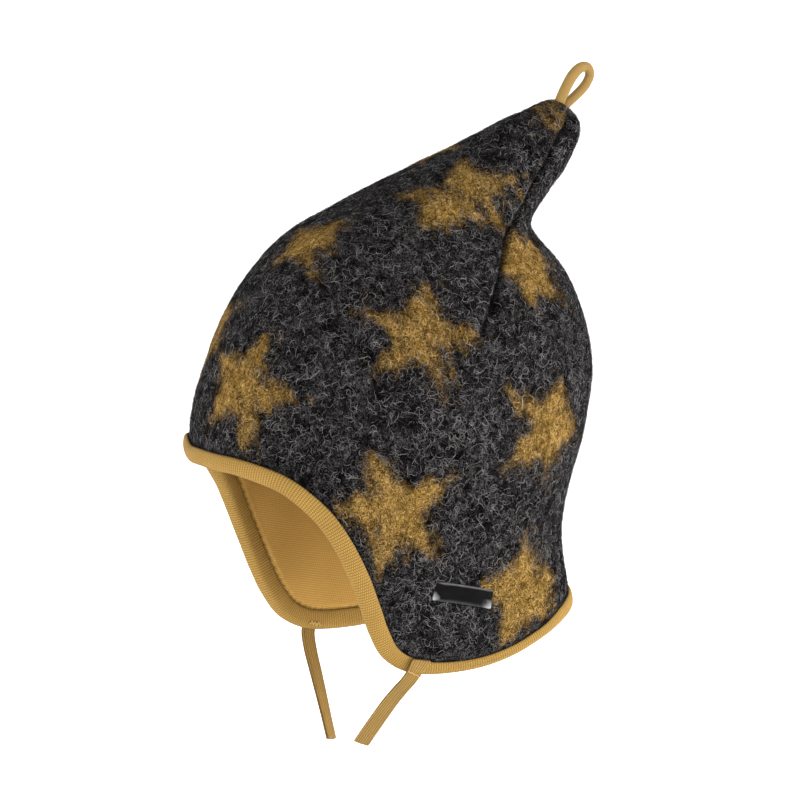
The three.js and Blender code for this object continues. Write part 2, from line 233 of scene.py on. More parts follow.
@dataclass(frozen=True)
class CapForm:
    """The felt's outer face as a function of an angle around the cap and a section level.

    The angle is 0 at the front, 90 on the wearer's left and 180 at the back. A half column runs from
    0 at the brow to 1 at the nape, and is the same on both sides.
    """

    squareness: float = 2.25
    tip: float = 16.0
    near_tip: float = 15.96
    turn: float = 0.5
    climb: float = 0.01
    rim_step: float = 0.008
    rim_levels: int = 600
    dart_end: float = 5.6
    dart_step: float = 1.3
    dart_run_in: float = 0.6
    dart_run_out: float = 3.0
    dart_lip: float = 3.0
    dart_lip_most: float = 14.0
    least_width: float = 1.0
    dart_half: float = 15 / 26
    lip_half: float = 1 / 26
    cheek_low: float = -86.0
    cheek_step: float = 12.0
    cheek_side: Span = (20, 45)
    cheek_depth: Span = (-5, -40)
    brow: float = 4.0
    brow_near: Span = (10, 30)
    brow_far: Span = (34, 56)
    brow_depth: Span = (45, 70)
    brow_height: Span = (14, 45)

    def flatten(self, wave: Array) -> Array:
        """Sine or cosine of a rounded-square section: its size to the power 2 / squareness, with its sign."""
        return np.sign(wave) * np.abs(wave) ** (2 / self.squareness)

    def point(self, around: Array, level: Array) -> Array:
        """Points of the face: half width times the flattened sine, and a mix of the back and front lines.

        Args:
            around: angles around the cap.
            level: section levels.

        Returns:
            Points on a new last axis.
        """
        row = SECTIONS.at(level, "front_y", "front_z", "back_y", "back_z", "half_width")
        angle = np.radians(around)
        forward = (1 + self.flatten(np.cos(angle))) / 2
        side = row[..., 4] * self.flatten(np.sin(angle))
        depth = lerp(row[..., 2], row[..., 0], forward)
        height = lerp(row[..., 3], row[..., 1], forward)
        pull = self.cheek_pull(side, depth, height)
        return np.stack([side, depth + pull, height + self.brow_lift(side, depth, height)], axis=-1)

    def cheek_pull(self, side: Array, depth: Array, height: Array) -> Array:
        """How far the right cheek's front lies back: a curve over the height, faded inward and backward.

        Args:
            side, depth, height: the face's points.

        Returns:
            The distance at each point.
        """
        place = np.clip((height - self.cheek_low) / self.cheek_step, 0, CHEEK.last)
        pull = CHEEK.at(place, "pull")
        return pull * smoothstep(*self.cheek_side, -side) * smoothstep(*self.cheek_depth, depth)

    def brow_lift(self, side: Array, depth: Array, height: Array) -> Array:
        """How far the brow's right half is raised: a soft hill that fades to both sides, backward and up.

        Args:
            side, depth, height: the face's points.

        Returns:
            The distance at each point.
        """
        aside = smoothstep(*self.brow_near, -side) * (1 - smoothstep(*self.brow_far, -side))
        low = 1 - smoothstep(*self.brow_height, np.abs(height))
        return self.brow * aside * smoothstep(*self.brow_depth, -depth) * low

    def directions(self, around: Array, level: Array) -> tuple[Array, Array, Array]:
        """Steps of the face by central differences, and its outward normal.

        Args:
            around: angles around the cap.
            level: section levels.

        Returns:
            The step for a degree, the step for a section, and the normal.
        """
        level = np.minimum(level, self.near_tip)
        across = self.point(around + self.turn, level) - self.point(around - self.turn, level)
        up = self.point(around, level + self.climb) - self.point(around, level - self.climb)
        across = across / (2 * self.turn)
        up = up / (2 * self.climb)
        return across, up, unit(np.cross(across, up))

    def off(self, around: Array, level: Array, distance: Array) -> Array:
        """Points at a distance off the face, outward for a positive one."""
        normal = self.directions(around, level)[2]
        return self.point(around, level) + normal * np.asarray(distance)[..., None]

    def walk(self, around: Array, level: Array, way: Array, distance: Array) -> tuple[Array, Array]:
        """Place reached along the face: the way solved in the face's two steps, times the distance.

        Args:
            around: angles at the start.
            level: section levels at the start.
            way: the directions.
            distance: how far each one goes.

        Returns:
            The angles and the section levels at the end.
        """
        across, up, _ = self.directions(around, level)
        mixed = (across * up).sum(-1)
        across_size = (across * across).sum(-1)
        up_size = (up * up).sum(-1)
        size = across_size * up_size - mixed * mixed
        along_across = (way * across).sum(-1)
        along_up = (way * up).sum(-1)
        around = around + distance * (along_across * up_size - along_up * mixed) / size
        level = level + distance * (along_up * across_size - along_across * mixed) / size
        return around, level

    def rim_edge(self, half: Array) -> tuple[Array, Array]:
        """Place on the rim's lower edge, whose height gives its section level.

        Args:
            half: half columns.

        Returns:
            The angles and the section levels.
        """
        row = RIM.at(np.asarray(half) * RIM.last, "around", "height")
        levels = np.linspace(0, self.dart_end, self.rim_levels)
        return row[..., 0], np.interp(row[..., 1], SECTIONS.at(levels, "front_z"), levels)

    def outer_leg(self, half: Array) -> Array:
        """Width of the binding's outer leg."""
        return RIM.at(np.asarray(half) * RIM.last, "outer_leg")

    def rim_place(self, half: Array, distance: Array) -> tuple[Array, Array]:
        """Place at a distance into the cloth, square to the rim's lower edge.

        Args:
            half: half columns.
            distance: how far into the cloth.

        Returns:
            The angles and the section levels.
        """
        half = np.asarray(half, dtype=float)
        around, level = self.rim_edge(half)
        before = self.point(*self.rim_edge(np.maximum(half - self.rim_step, 0)))
        after = self.point(*self.rim_edge(np.minimum(half + self.rim_step, 1)))
        way = unit(np.cross(self.directions(around, level)[2], after - before))
        return self.walk(around, level, way, distance)

    def dart_around(self, level: Array) -> Array:
        """Angle of a dart at a section level."""
        return DART.at((level - self.dart_end) / self.dart_step, "around")

    def lips(self) -> Span:
        """Half columns of the dart's two lips."""
        return self.dart_half - self.lip_half, self.dart_half + self.lip_half

    def middle(self, level: float) -> Array:
        """Middle between the front and the back of a section."""
        return self.point(np.array([0.0, 180.0]), np.full(2, level)).mean(axis=0)

    def upper_around(self, half: Array, level: Array) -> Array:
        """Angle of a half column above the darts' lower end: straight shares before, over and behind a dart.

        Args:
            half: half columns.
            level: section levels.

        Returns:
            The angles.
        """
        dart = self.dart_around(level)
        width = np.maximum(SECTIONS.at(level, "half_width"), self.least_width)
        lip = np.minimum(np.degrees(self.dart_lip / width), self.dart_lip_most)
        first, second = self.lips()
        before = (dart - lip) * half / first
        over = dart + lip * (half - self.dart_half) / self.lip_half
        behind = lerp(dart + lip, 180.0, (half - second) / (1 - second))
        return np.where(half < first, before, np.where(half <= second, over, behind))

    def dart_share(self, level: Array) -> Array:
        """How far a dart is pulled in: full along the seam, running out at both ends."""
        start = smoothstep(self.dart_end, self.dart_end + self.dart_run_in, level)
        return start * (1 - smoothstep(self.tip - self.dart_run_out, self.tip - 1, level))

    def cloth(self, halves: Array, band: Array, lower: int, levels: Array) -> "ClothPlaces":
        """Places of a cloth grid: rows off the rim, rows up to the darts' end, then whole sections.

        Args:
            halves: half columns of the left side, from 0 to 1.
            band: distances of the first rows from the rim's lower edge.
            lower: rows between the band and the darts' lower end.
            levels: section levels of the rows above.

        Returns:
            The places of both sides, each ring once round.
        """
        wide = halves[None, :]
        around, level = self.rim_place(np.broadcast_to(wide, (len(band), len(halves))), band[:, None])
        share = (np.arange(1, lower + 1) / lower)[:, None]
        join = self.upper_around(halves, np.full_like(halves, self.dart_end))[None, :]
        middle_around = lerp(around[-1:], join, share)
        middle_level = lerp(level[-1:], self.dart_end, share)
        upper_level = np.broadcast_to(levels[:, None], (len(levels), len(halves)))
        upper_around = self.upper_around(np.broadcast_to(wide, upper_level.shape), upper_level)
        around = np.concatenate([around, middle_around, upper_around])
        level = np.concatenate([level, middle_level, upper_level])
        back = slice(-2, 0, -1)
        half = np.broadcast_to(wide, around.shape)
        return ClothPlaces(
            np.concatenate([around, -around[:, back]], axis=1),
            np.concatenate([level, level[:, back]], axis=1),
            np.concatenate([half, half[:, back]], axis=1),
        )


@dataclass(frozen=True)
class ClothPlaces:
    """A grid of places on the cap: rows go up, columns go once round."""

    around: Array
    level: Array
    half: Array

    def climb(self, form: CapForm, start: float) -> Array:
        """Distance into the cloth at each place, added up along its column from the first row's distance."""
        steps = np.linalg.norm(np.diff(form.point(self.around, self.level), axis=0), axis=-1)
        return start + np.concatenate([np.zeros((1, steps.shape[1])), np.cumsum(steps, axis=0)])

    def girth(self, form: CapForm) -> Array:
        """Distance along the first row at each column, with the closing column added at the end."""
        points = form.point(self.around[0], self.level[0])
        return run_length(np.concatenate([points, points[:1]]))


def math_method(operation: str, reflected: bool = False) -> Callable[..., "Value"]:
    """Method of a value that adds a Math node.

    Args:
        operation: the node's operation.
        reflected: whether the other value comes first.

    Returns:
        The method.
    """

    def method(value: "Value", *others: "Number") -> "Value":
        """Result of the operation on this value and others."""
        return value.math(operation, *((*others, value) if reflected else (value, *others)))

    return method


class Value:
    """A number's socket: arithmetic on it adds Math nodes to its shader."""

    __add__ = __radd__ = math_method("ADD")
    __mul__ = __rmul__ = math_method("MULTIPLY")
    __sub__ = math_method("SUBTRACT")
    __rsub__ = math_method("SUBTRACT", reflected=True)
    __truediv__ = math_method("DIVIDE")
    __rtruediv__ = math_method("DIVIDE", reflected=True)
    __pow__ = math_method("POWER")
    __abs__ = math_method("ABSOLUTE")
    sine = math_method("SINE")
    floor = math_method("FLOOR")
    most = math_method("MAXIMUM")

    def __init__(self, shader: "Shader", socket: bpy.types.NodeSocket) -> None:
        """Keeps the socket and the shader that it belongs to."""
        self.shader = shader
        self.socket = socket

    def math(self, operation: str, *numbers: "Number") -> "Value":
        """A Math node on numbers."""
        made = self.shader.node("ShaderNodeMath", {"operation": operation}, dict(enumerate(numbers)))
        return Value(self.shader, made.outputs[0])

    def scaled(self, low: float, gain: float) -> "Value":
        """This value times a gain, on top of a low end."""
        return self * gain + low

    def spread(self, amount: float) -> "Value":
        """This value about its middle of a half, spread over an amount."""
        return (self - 0.5) * amount

    def smooth(self, low: float, high: float) -> "Value":
        """Smooth rise from 0 at low to 1 at high.

        Args:
            low: where the rise starts.
            high: where it ends.

        Returns:
            The share.
        """
        made = self.shader.node(
            "ShaderNodeMapRange",
            {"interpolation_type": "SMOOTHSTEP"},
            {"Value": self, "From Min": low, "From Max": high},
        )
        return Value(self.shader, made.outputs[0])


# Sockets of a Mix node for colours.
MIX_SHARE = 0
MIX_FIRST = 6
MIX_SECOND = 7
MIX_RESULT = 2

Number = Union[Value, float]
Feed = Union[Value, float, Colour, tuple[float, float, float], bpy.types.NodeSocket]


class Shader:
    """A material's node tree with one surface shader."""

    def __init__(self, name: str) -> None:
        """Makes the material, its surface shader and its output.

        Args:
            name: the material's name.
        """
        self.material = bpy.data.materials.new(name)
        self.material.use_nodes = True
        self.tree = self.material.node_tree
        self.tree.nodes.clear()
        self.surface = self.node("ShaderNodeBsdfPrincipled")
        self.node("ShaderNodeOutputMaterial", {}, {"Surface": self.surface.outputs["BSDF"]})

    def feed(self, socket: bpy.types.NodeSocket, value: Feed) -> None:
        """Links a socket or value to a socket, or sets a constant on it.

        Args:
            socket: the socket that is fed.
            value: what feeds it.
        """
        source = value.socket if isinstance(value, Value) else value
        if isinstance(source, bpy.types.NodeSocket):
            self.tree.links.new(source, socket)
        else:
            socket.default_value = source

    def node(
        self,
        kind: str,
        settings: dict[str, object] | None = None,
        inputs: dict[str | int, Feed] | None = None,
    ) -> bpy.types.Node:
        """Adds a node.

        Args:
            kind: the node's type.
            settings: its settings, set first.
            inputs: values or links for its sockets, by name or place.

        Returns:
            The node.
        """
        made = self.tree.nodes.new(kind)
        for name, value in (settings or {}).items():
            setattr(made, name, value)
        for name, value in (inputs or {}).items():
            self.feed(made.inputs[name], value)
        return made

    def set(self, **constants: Feed) -> None:
        """Sets or links the surface shader's sockets; an underscore in a name stands for a space."""
        for name, value in constants.items():
            self.feed(self.surface.inputs[name.replace("_", " ")], value)

    def mix(self, first: Feed, second: Feed, share: Number) -> bpy.types.NodeSocket:
        """Mix of two colours."""
        inputs = {MIX_SHARE: share, MIX_FIRST: first, MIX_SECOND: second}
        return self.node("ShaderNodeMix", {"data_type": "RGBA"}, inputs).outputs[MIX_RESULT]

    def place(self) -> bpy.types.NodeSocket:
        """The piece's own coordinates in metres."""
        return self.node("ShaderNodeTexCoord").outputs["Object"]

    def cloth_place(self) -> tuple[Value, Value]:
        """Distances along and across the cloth in millimetres, from the piece's own map.

        Returns:
            The two distances.
        """
        flat = self.node("ShaderNodeUVMap", {"uv_map": FLAT_MAP}).outputs["UV"]
        parts = self.node("ShaderNodeSeparateXYZ", {}, {0: flat})
        return Value(self, parts.outputs[0]), Value(self, parts.outputs[1])

    def attribute(self, name: str) -> Value:
        """A number kept on the piece's points."""
        made = self.node("ShaderNodeAttribute", {"attribute_name": name})
        return Value(self, made.outputs["Fac"])

    def noise(self, place: Feed, size: float, detail: float = 2.0, swirl: float = 0.0) -> Value:
        """Noise from 0 to 1.

        Args:
            place: the coordinates.
            size: about how far across a spot is, in millimetres.
            detail: how many finer layers are added.
            swirl: how far the spots are drawn out.

        Returns:
            The noise.
        """
        inputs = {"Vector": place, "Scale": 1 / (size * MM), "Detail": detail, "Distortion": swirl}
        return Value(self, self.node("ShaderNodeTexNoise", {}, inputs).outputs["Fac"])

    def shifted(self, place: Feed, *shift: float) -> bpy.types.NodeSocket:
        """Coordinates moved aside, so that one pattern doesn't repeat another."""
        return self.node("ShaderNodeVectorMath", {"operation": "ADD"}, {0: place, 1: shift}).outputs[0]

    def bump(self, height: Value, depth: float, strength: float) -> None:
        """Adds relief to the surface.

        Args:
            height: from 0 to 1.
            depth: the relief's depth in millimetres.
            strength: the share of it that shows.
        """
        inputs = {"Height": height, "Distance": depth * MM, "Strength": strength}
        self.set(Normal=self.node("ShaderNodeBump", {}, inputs).outputs["Normal"])


STAR_MAP = "star_distance"
TUCK_MAP = "tuck_shade"
TONE_MAP = "fibre_colour"
FLAT_MAP = "cloth_mm"
HIGHLIGHT_MAP = "painted_highlight_share"
BAKE_MAP = "OFBake"
CELL_MARGIN = 0.15


@dataclass(frozen=True)
class FeltFinish:
    """Boiled wool: a dark ground with lighter curled fibres, and felted stars with blurred edges."""

    ground: Colour = srgb(2, 2, 2)
    haze: Colour = srgb(11, 10, 11)
    strand: Colour = srgb(96, 93, 93)
    star_ground: Colour = srgb(56, 41, 18)
    star_haze: Colour = srgb(136, 104, 48)
    star_strand: Colour = srgb(212, 172, 102)
    shadow: Colour = srgb(2, 2, 2)
    blur: float = 4.4
    inset: float = 1.2
    wander: float = 6.0
    wander_size: float = 9.0
    fray: float = 8.0
    fray_size: float = 2.2
    fuzz_size: float = 1.1
    fuzz_span: Span = (0.3, 0.72)
    cloud_size: float = 14.0
    haze_cloud: Span = (0.55, 0.9)
    strand_cloud: Span = (0.25, 0.8)
    star_strands: float = 0.6
    strand_sizes: tuple[float, ...] = (3.4, 2.6, 2.1, 1.7)
    strand_aside: tuple[float, float, float] = (0.31, 0.17, 0.23)
    strand_width: Span = (0.008, 0.034)
    gap_size: float = 2.3
    gap_span: Span = (0.4, 0.58)
    sheen: float = 0.02
    fuzz_height: float = 0.6
    strand_height: float = 0.5
    relief: float = 0.5
    strength: float = 0.7

    def strands(self, shader: Shader, place: Feed) -> Value:
        """Thin broken lines where a swirled noise crosses its middle, in layers of several sizes.

        Args:
            shader: the material's shader.
            place: the piece's own coordinates.

        Returns:
            The share of strand at each place.
        """
        lines = []
        for layer, size in enumerate(self.strand_sizes):
            aside = shader.shifted(place, *(part * layer for part in self.strand_aside))
            line = 1 - abs(shader.noise(aside, size, detail=0.5, swirl=1.6) - 0.5).smooth(*self.strand_width)
            lines.append(line * shader.noise(aside, size * self.gap_size, detail=1).smooth(*self.gap_span))
        return reduce(Value.most, lines)

    def material(self) -> bpy.types.Material:
        """Ground, haze and strands are mixed for the wool and for the stars, and painted shade darkens the
        tucks.

        Returns:
            The material.
        """
        shader = Shader("felt_wool")
        place = shader.place()
        wander = shader.noise(place, self.wander_size, detail=3, swirl=0.4).spread(self.wander)
        fray = shader.noise(place, self.fray_size, swirl=1.0).spread(self.fray)
        edge = shader.attribute(STAR_MAP) + (wander + fray) + self.inset
        fuzz = shader.noise(place, self.fuzz_size, detail=4, swirl=1.2)
        cloud = shader.noise(place, self.cloud_size, detail=3, swirl=0.3)
        strands = self.strands(shader, place)
        lift = fuzz.smooth(*self.fuzz_span) * cloud.scaled(*self.haze_cloud)
        dark = shader.mix(self.ground, self.haze, lift)
        dark = shader.mix(dark, self.strand, strands * cloud.scaled(*self.strand_cloud))
        gold = shader.mix(self.star_ground, self.star_haze, lift)
        gold = shader.mix(gold, self.star_strand, strands * self.star_strands)
        wool = shader.mix(dark, gold, 1 - edge.smooth(-self.blur, self.blur))
        # painted shade: dark colour in the dart's groove and against the binding's edge
        shader.set(
            Base_Color=shader.mix(wool, self.shadow, shader.attribute(TUCK_MAP)),
            Roughness=1.0,
            Specular_IOR_Level=0.0,
            Sheen_Weight=self.sheen,
            Sheen_Roughness=0.5,
        )
        height = fuzz * self.fuzz_height + strands * self.strand_height
        shader.bump(height, self.relief, self.strength)
        return shader.material


@dataclass(frozen=True)
class FibreFinish:
    """Loose wool fibres that carry their own colour."""

    worn: Colour = (0.001, 0.001, 0.001, 1)
    worn_size: float = 0.8
    worn_most: float = 0.5

    def material(self) -> bpy.types.Material:
        """The fibre's own colour, a little uneven along it.

        Returns:
            The material.
        """
        shader = Shader("wool_fibres")
        tone = shader.node("ShaderNodeAttribute", {"attribute_name": TONE_MAP}).outputs["Color"]
        worn = shader.noise(shader.place(), self.worn_size) * self.worn_most
        shader.set(Base_Color=shader.mix(tone, self.worn, worn), Roughness=1.0, Specular_IOR_Level=0.0)
        return shader.material


@dataclass(frozen=True)
class JerseyFinish:
    """Fine jersey knit: rows of small slanted stitches, with painted shade in the furrows and in the tucks.
    """

    name: str
    shade: Colour
    light: Colour
    wale: float = 0.8
    course: float = 0.7
    relief: float = 0.22
    strength: float = 0.8
    shadow: Colour = srgb(58, 40, 15)
    wobble: float = 0.5
    wobble_size: float = 6.0
    furrow: float = 0.7
    stitch: Span = (0.4, 0.6)
    cloud_size: float = 18.0
    cloudy: Span = (0.6, 0.5)
    grain: float = 0.3
    grain_size: float = 0.5

    def material(self) -> bpy.types.Material:
        """A stitch is a sine along the course, slanted both ways from the middle of each wale.

        Returns:
            The material.
        """
        shader = Shader(self.name)
        along, across = shader.cloth_place()
        place = shader.place()
        column = along / self.wale + shader.noise(place, self.wobble_size).spread(self.wobble)
        slant = abs(column - column.floor() - 0.5)
        stitch = abs(((across / self.course + slant) * np.pi).sine())
        height = abs((column * np.pi).sine()) ** self.furrow * stitch.scaled(*self.stitch)
        cloud = shader.noise(place, self.cloud_size, detail=3)
        lit = height * cloud.scaled(*self.cloudy) + shader.noise(place, self.grain_size).spread(self.grain)
        # the colour runs from the shade tone in the furrows to the light tone on the raised stitches: painted
        # shade, under random clouds and grain
        knit = shader.mix(self.shade, self.light, lit)
        # painted shadow where the piece's tuck share is high
        knit = shader.mix(knit, self.shadow, shader.attribute(TUCK_MAP))
        shader.set(Base_Color=knit, Roughness=0.85, Specular_IOR_Level=0.1)
        shader.bump(height, self.relief, self.strength)
        return shader.material


@dataclass(frozen=True)
class RibFinish:
    """Ribbed knit strip: round ribs made of small stitches, with painted shade in the furrows."""

    name: str
    shade: Colour
    light: Colour
    rib: float = 0.98
    stitch: float = 0.62
    relief: float = 0.3
    strength: float = 0.8
    wobble: float = 0.14
    wobble_size: float = 5.0
    roundness: float = 0.8
    rib_height: Span = (0.35, 0.65)
    loop_height: Span = (0.3, 0.7)
    lit_span: Span = (0.15, 0.95)
    cloud_size: float = 12.0
    cloudy: Span = (0.75, 0.45)
    grain: float = 0.35
    grain_size: float = 0.45

    def material(self) -> bpy.types.Material:
        """A rib is a half sine across it, its stitches half sines along it, set off by half on the next rib.

        Returns:
            The material.
        """
        shader = Shader(self.name)
        along, across = shader.cloth_place()
        place = shader.place()
        row = along / self.rib + shader.noise(place, self.wobble_size).spread(self.wobble)
        rib = abs((row * np.pi).sine()) ** self.roundness
        loop = abs(((across / self.stitch + row.floor() * 0.5) * np.pi).sine())
        height = rib.scaled(*self.rib_height) * loop.scaled(*self.loop_height)
        cloud = shader.noise(place, self.cloud_size, detail=3)
        # the colour runs from the shade tone in the furrows to the light tone on the ribs' tops: painted
        # shade, under random clouds and grain
        lit = height.smooth(*self.lit_span) * cloud.scaled(*self.cloudy)
        lit = lit + shader.noise(place, self.grain_size).spread(self.grain)
        shader.set(Base_Color=shader.mix(self.shade, self.light, lit), Roughness=0.8, Specular_IOR_Level=0.15)
        shader.bump(height, self.relief, self.strength)
        return shader.material


@dataclass(frozen=True)
class TabFinish:
    """Smooth black leather-like tab with a fine grain, gloss and painted highlights."""

    ground: Colour = srgb(3, 3, 3)
    cloudy: Colour = srgb(12, 12, 12)
    painted_highlights: Colour = srgb(166, 167, 166)
    grain_size: float = 0.6
    grain_share: float = 0.6
    cloud_size: float = 4.0
    cloud_span: Span = (0.45, 0.8)
    highlight_cloud: Span = (0.45, 0.9)
    roughness: Span = (0.3, 0.2)
    relief: float = 0.06
    strength: float = 0.4

    def material(self) -> bpy.types.Material:
        """A fine cell grain, gloss that varies in soft clouds, and painted highlights that make the lower
        corners and the long edges pale.

        Returns:
            The material.
        """
        shader = Shader("black_tab")
        place = shader.place()
        inputs = {"Vector": place, "Scale": 1 / (self.grain_size * MM)}
        cells = Value(shader, shader.node("ShaderNodeTexVoronoi", {}, inputs).outputs["Distance"])
        cloud = shader.noise(place, self.cloud_size, detail=3)
        black = shader.mix(self.ground, self.cloudy, cloud.smooth(*self.cloud_span))
        # painted highlights: a pale tone laid on the lower corners and the long edges, where they would
        # reflect light
        worn = shader.attribute(HIGHLIGHT_MAP) * cloud.scaled(*self.highlight_cloud)
        shader.set(Base_Color=shader.mix(black, self.painted_highlights, worn))
        shader.set(Roughness=cloud.scaled(*self.roughness), Specular_IOR_Level=0.05)
        height = cells * self.grain_share + cloud * (1 - self.grain_share)
        shader.bump(height, self.relief, self.strength)
        return shader.material


@dataclass(frozen=True)
class PaperFinish:
    """Pale matt backdrop."""

    tone: Colour = (0.93, 0.93, 0.93, 1)
    bright: Colour = (0.96, 0.96, 0.96, 1)
    cloud_size: float = 400.0
    glow: float = 0.48

    def material(self) -> bpy.types.Material:
        """Even white with a barely seen cloud, lit a little from behind.

        Returns:
            The material.
        """
        shader = Shader("pale_floor")
        cloud = shader.noise(shader.place(), self.cloud_size)
        shader.set(Base_Color=shader.mix(self.tone, self.bright, cloud), Roughness=0.9)
        shader.set(Emission_Color=(1.0, 1.0, 1.0, 1.0), Emission_Strength=self.glow)
        return shader.material


@dataclass
class Patch:
    """A grid of points that becomes faces: columns go along the first parameter, rows along the second."""

    points: Array
    closed_columns: bool = True
    closed_rows: bool = False
    flat: Array | None = None
    numbers: dict[str, Array] = field(default_factory=dict)
    margin: float = 0.01

    def corners(self) -> tuple[Array, Array]:
        """Four corners of each face, with wrapped columns and rows.

        Returns:
            Their places among the points, and their rows and columns on the grid.
        """
        rows, columns = self.points.shape[:2]
        row = np.arange(rows if self.closed_rows else rows - 1)
        column = np.arange(columns if self.closed_columns else columns - 1)
        row, column = (part.ravel() for part in np.meshgrid(row, column, indexing="ij"))
        grid_row = np.stack([row, row, row + 1, row + 1], axis=1)
        grid_column = np.stack([column, column + 1, column + 1, column], axis=1)
        return (grid_row % rows) * columns + grid_column % columns, np.stack([grid_row, grid_column], axis=-1)

    def bake_map(self) -> Array:
        """The grid laid out as a square, for each face corner."""
        places = self.corners()[1].reshape(-1, 2)[:, ::-1].astype(float)
        return self.margin + (1 - 2 * self.margin) * places / places.max(axis=0)

    def flat_map(self) -> Array | None:
        """Distances along and across the cloth for each face corner.

        Returns:
            The distances, or none where the grid has none.
        """
        if self.flat is None:
            return None
        places = self.corners()[1].reshape(-1, 2)
        return self.flat[places[:, 0], places[:, 1]]


def grid_mesh(name: str, points: Array, faces: Array, maps: dict[str, Array | None]) -> bpy.types.Mesh:
    """Mesh in metres from points in millimetres, with its maps of two numbers for each face corner.

    Args:
        name: the mesh's name.
        points: three numbers on the last axis.
        faces: places of four points on the last axis.
        maps: the maps by name, with none for one that is left out.

    Returns:
        The mesh.
    """
    mesh = bpy.data.meshes.new(name)
    mesh.from_pydata((points.reshape(-1, 3) * MM).tolist(), [], faces.reshape(-1, 4).tolist())
    for key, places in maps.items():
        if places is not None:
            mesh.uv_layers.new(name=key).data.foreach_set("uv", places.astype(np.float32).ravel())
    return mesh


def put_object(name: str, mesh: bpy.types.Mesh, material: bpy.types.Material) -> bpy.types.Object:
    """Shades a mesh smoothly, gives it its material and links it as an object at the origin.

    Args:
        name: the piece's name.
        mesh: its mesh.
        material: its finish.

    Returns:
        The object.
    """
    mesh.polygons.foreach_set("use_smooth", np.ones(len(mesh.polygons), dtype=bool))
    mesh.materials.append(material)
    mesh.update()
    made = bpy.data.objects.new(name, mesh)
    bpy.context.scene.collection.objects.link(made)
    return made


def weld(mesh: bpy.types.Mesh, reach: float = 1e-7) -> None:
    """Joins points that lie on each other, which closes seams and poles.

    Args:
        mesh: the mesh that is changed.
        reach: the largest gap that is closed, in metres.
    """
    joined = bmesh.new()
    joined.from_mesh(mesh)
    bmesh.ops.remove_doubles(joined, verts=joined.verts, dist=reach)
    joined.to_mesh(mesh)
    joined.free()


def patch_object(name: str, patch: Patch, material: bpy.types.Material) -> bpy.types.Object:
    """Object from a patch, with its maps and the numbers on its points.

    Args:
        name: the piece's name.
        patch: the grid in millimetres.
        material: its finish.

    Returns:
        The object.
    """
    maps = {FLAT_MAP: patch.flat_map(), BAKE_MAP: patch.bake_map()}
    mesh = grid_mesh(name, patch.points, patch.corners()[0], maps)
    for key, numbers in patch.numbers.items():
        kept = mesh.attributes.new(key, "FLOAT", "POINT")
        kept.data.foreach_set("value", numbers.astype(np.float32).ravel())
    weld(mesh)
    return put_object(name, mesh, material)


def many(name: str, points: Array, closed: bool, flat: Array | None = None) -> bpy.types.Mesh:
    """Mesh of many small grids of one size, each in its own cell of the baking map.

    Args:
        name: the mesh's name.
        points: grid, row, column, then three numbers in millimetres.
        closed: whether the columns close into a ring.
        flat: distances along and across one grid's cloth.

    Returns:
        The mesh.
    """
    count, rows, columns = points.shape[:3]
    one = Patch(points[0], closed_columns=closed, flat=flat)
    faces = (np.arange(count) * rows * columns)[:, None, None] + one.corners()[0][None]
    wide = int(np.ceil(np.sqrt(count)))
    cell = np.stack([np.arange(count) % wide, np.arange(count) // wide], axis=1)
    bake = (cell[:, None] + CELL_MARGIN + (1 - 2 * CELL_MARGIN) * one.bake_map()[None]) / wide
    cloth = None if flat is None else np.tile(one.flat_map(), (count, 1))
    return grid_mesh(name, points, faces, {FLAT_MAP: cloth, BAKE_MAP: bake})


def settle(piece: bpy.types.Object, slot: str, *nodes: str) -> bpy.types.Object:
    """Makes a piece ride on the part and hides the CAD nodes that it stands for.

    Args:
        piece: the object.
        slot: the record's material slot; not used.
        nodes: the CAD nodes that it stands for.

    Returns:
        The same object.
    """
    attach(piece, BODY)
    if nodes:
        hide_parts(*nodes)
    LOG.info("%s: %d faces", piece.name, len(piece.data.polygons))
    return piece


def smooth_route(rows: Rows, count: int, finer: int = 40) -> Array:
    """Evenly spaced points on the smooth curve through a route's rows.

    Args:
        rows: the route.
        count: the number of points.
        finer: steps for each point that the curve's length is measured with.

    Returns:
        The points.
    """
    fine = rows.at(np.linspace(0, rows.last, finer * count), *ROUTE)
    length = run_length(fine)
    even = np.linspace(0, length[-1], count)
    return np.stack([np.interp(even, length, fine[:, axis]) for axis in range(len(ROUTE))], axis=-1)


def carried(route: Array, first: Array) -> tuple[Array, Array, Array]:
    """Directions carried along a route without twist.

    Args:
        route: points along it.
        first: the way that the strip's flat side faces at the start.

    Returns:
        The route's direction, the strip's side and the way that its flat side faces, at each point.
    """
    along = unit(np.gradient(route, axis=0))
    face = np.empty_like(route)
    face[0] = unit(first - along[0] * (first @ along[0]))
    for place in range(1, len(route)):
        face[place] = unit(face[place - 1] - along[place] * (face[place - 1] @ along[place]))
    return along, unit(np.cross(along, face)), face


class Panel(Enum):
    """Where the felt carries a star: all round, or on one side of the dart only."""

    WHOLE = 0
    FRONT = 1
    BACK = -1


@dataclass(frozen=True)
class Star:
    """A felted star: its middle on the cap, and the turns and reaches of its arms and notches."""

    around: float
    level: float
    turns: tuple[float, ...]
    reaches: tuple[float, ...]
    panel: Panel = Panel.WHOLE
    depth: float = 40.0

    def outline(self) -> Array:
        """Corners of the star on the flat cloth."""
        turn, reach = np.radians(self.turns), np.array(self.reaches)
        return np.stack([reach * np.cos(turn), reach * np.sin(turn)], axis=1)


def even_star(
    around: float,
    level: float,
    turn: float,
    reach: float,
    panel: Panel = Panel.WHOLE,
    depth: float = 40.0,
    waist: float = 0.41,
    short: float = 0.94,
) -> Star:
    """A star with corners a tenth of a turn apart, where every other arm is a little shorter.

    Args:
        around, level: its middle on the cap.
        turn: the first arm's turn.
        reach: a long arm's reach.
        panel: where the felt carries it.
        depth: the most that counts as inside it.
        waist: the notches' share of the reach.
        short: a short arm's share of the reach.

    Returns:
        The star.
    """
    arms = (short, 1, short, 1, short)
    turns = tuple(turn + 36 * corner for corner in range(10))
    reaches = tuple(reach * share for arm in arms for share in (arm, waist))
    return Star(around, level, turns, reaches, panel, depth)


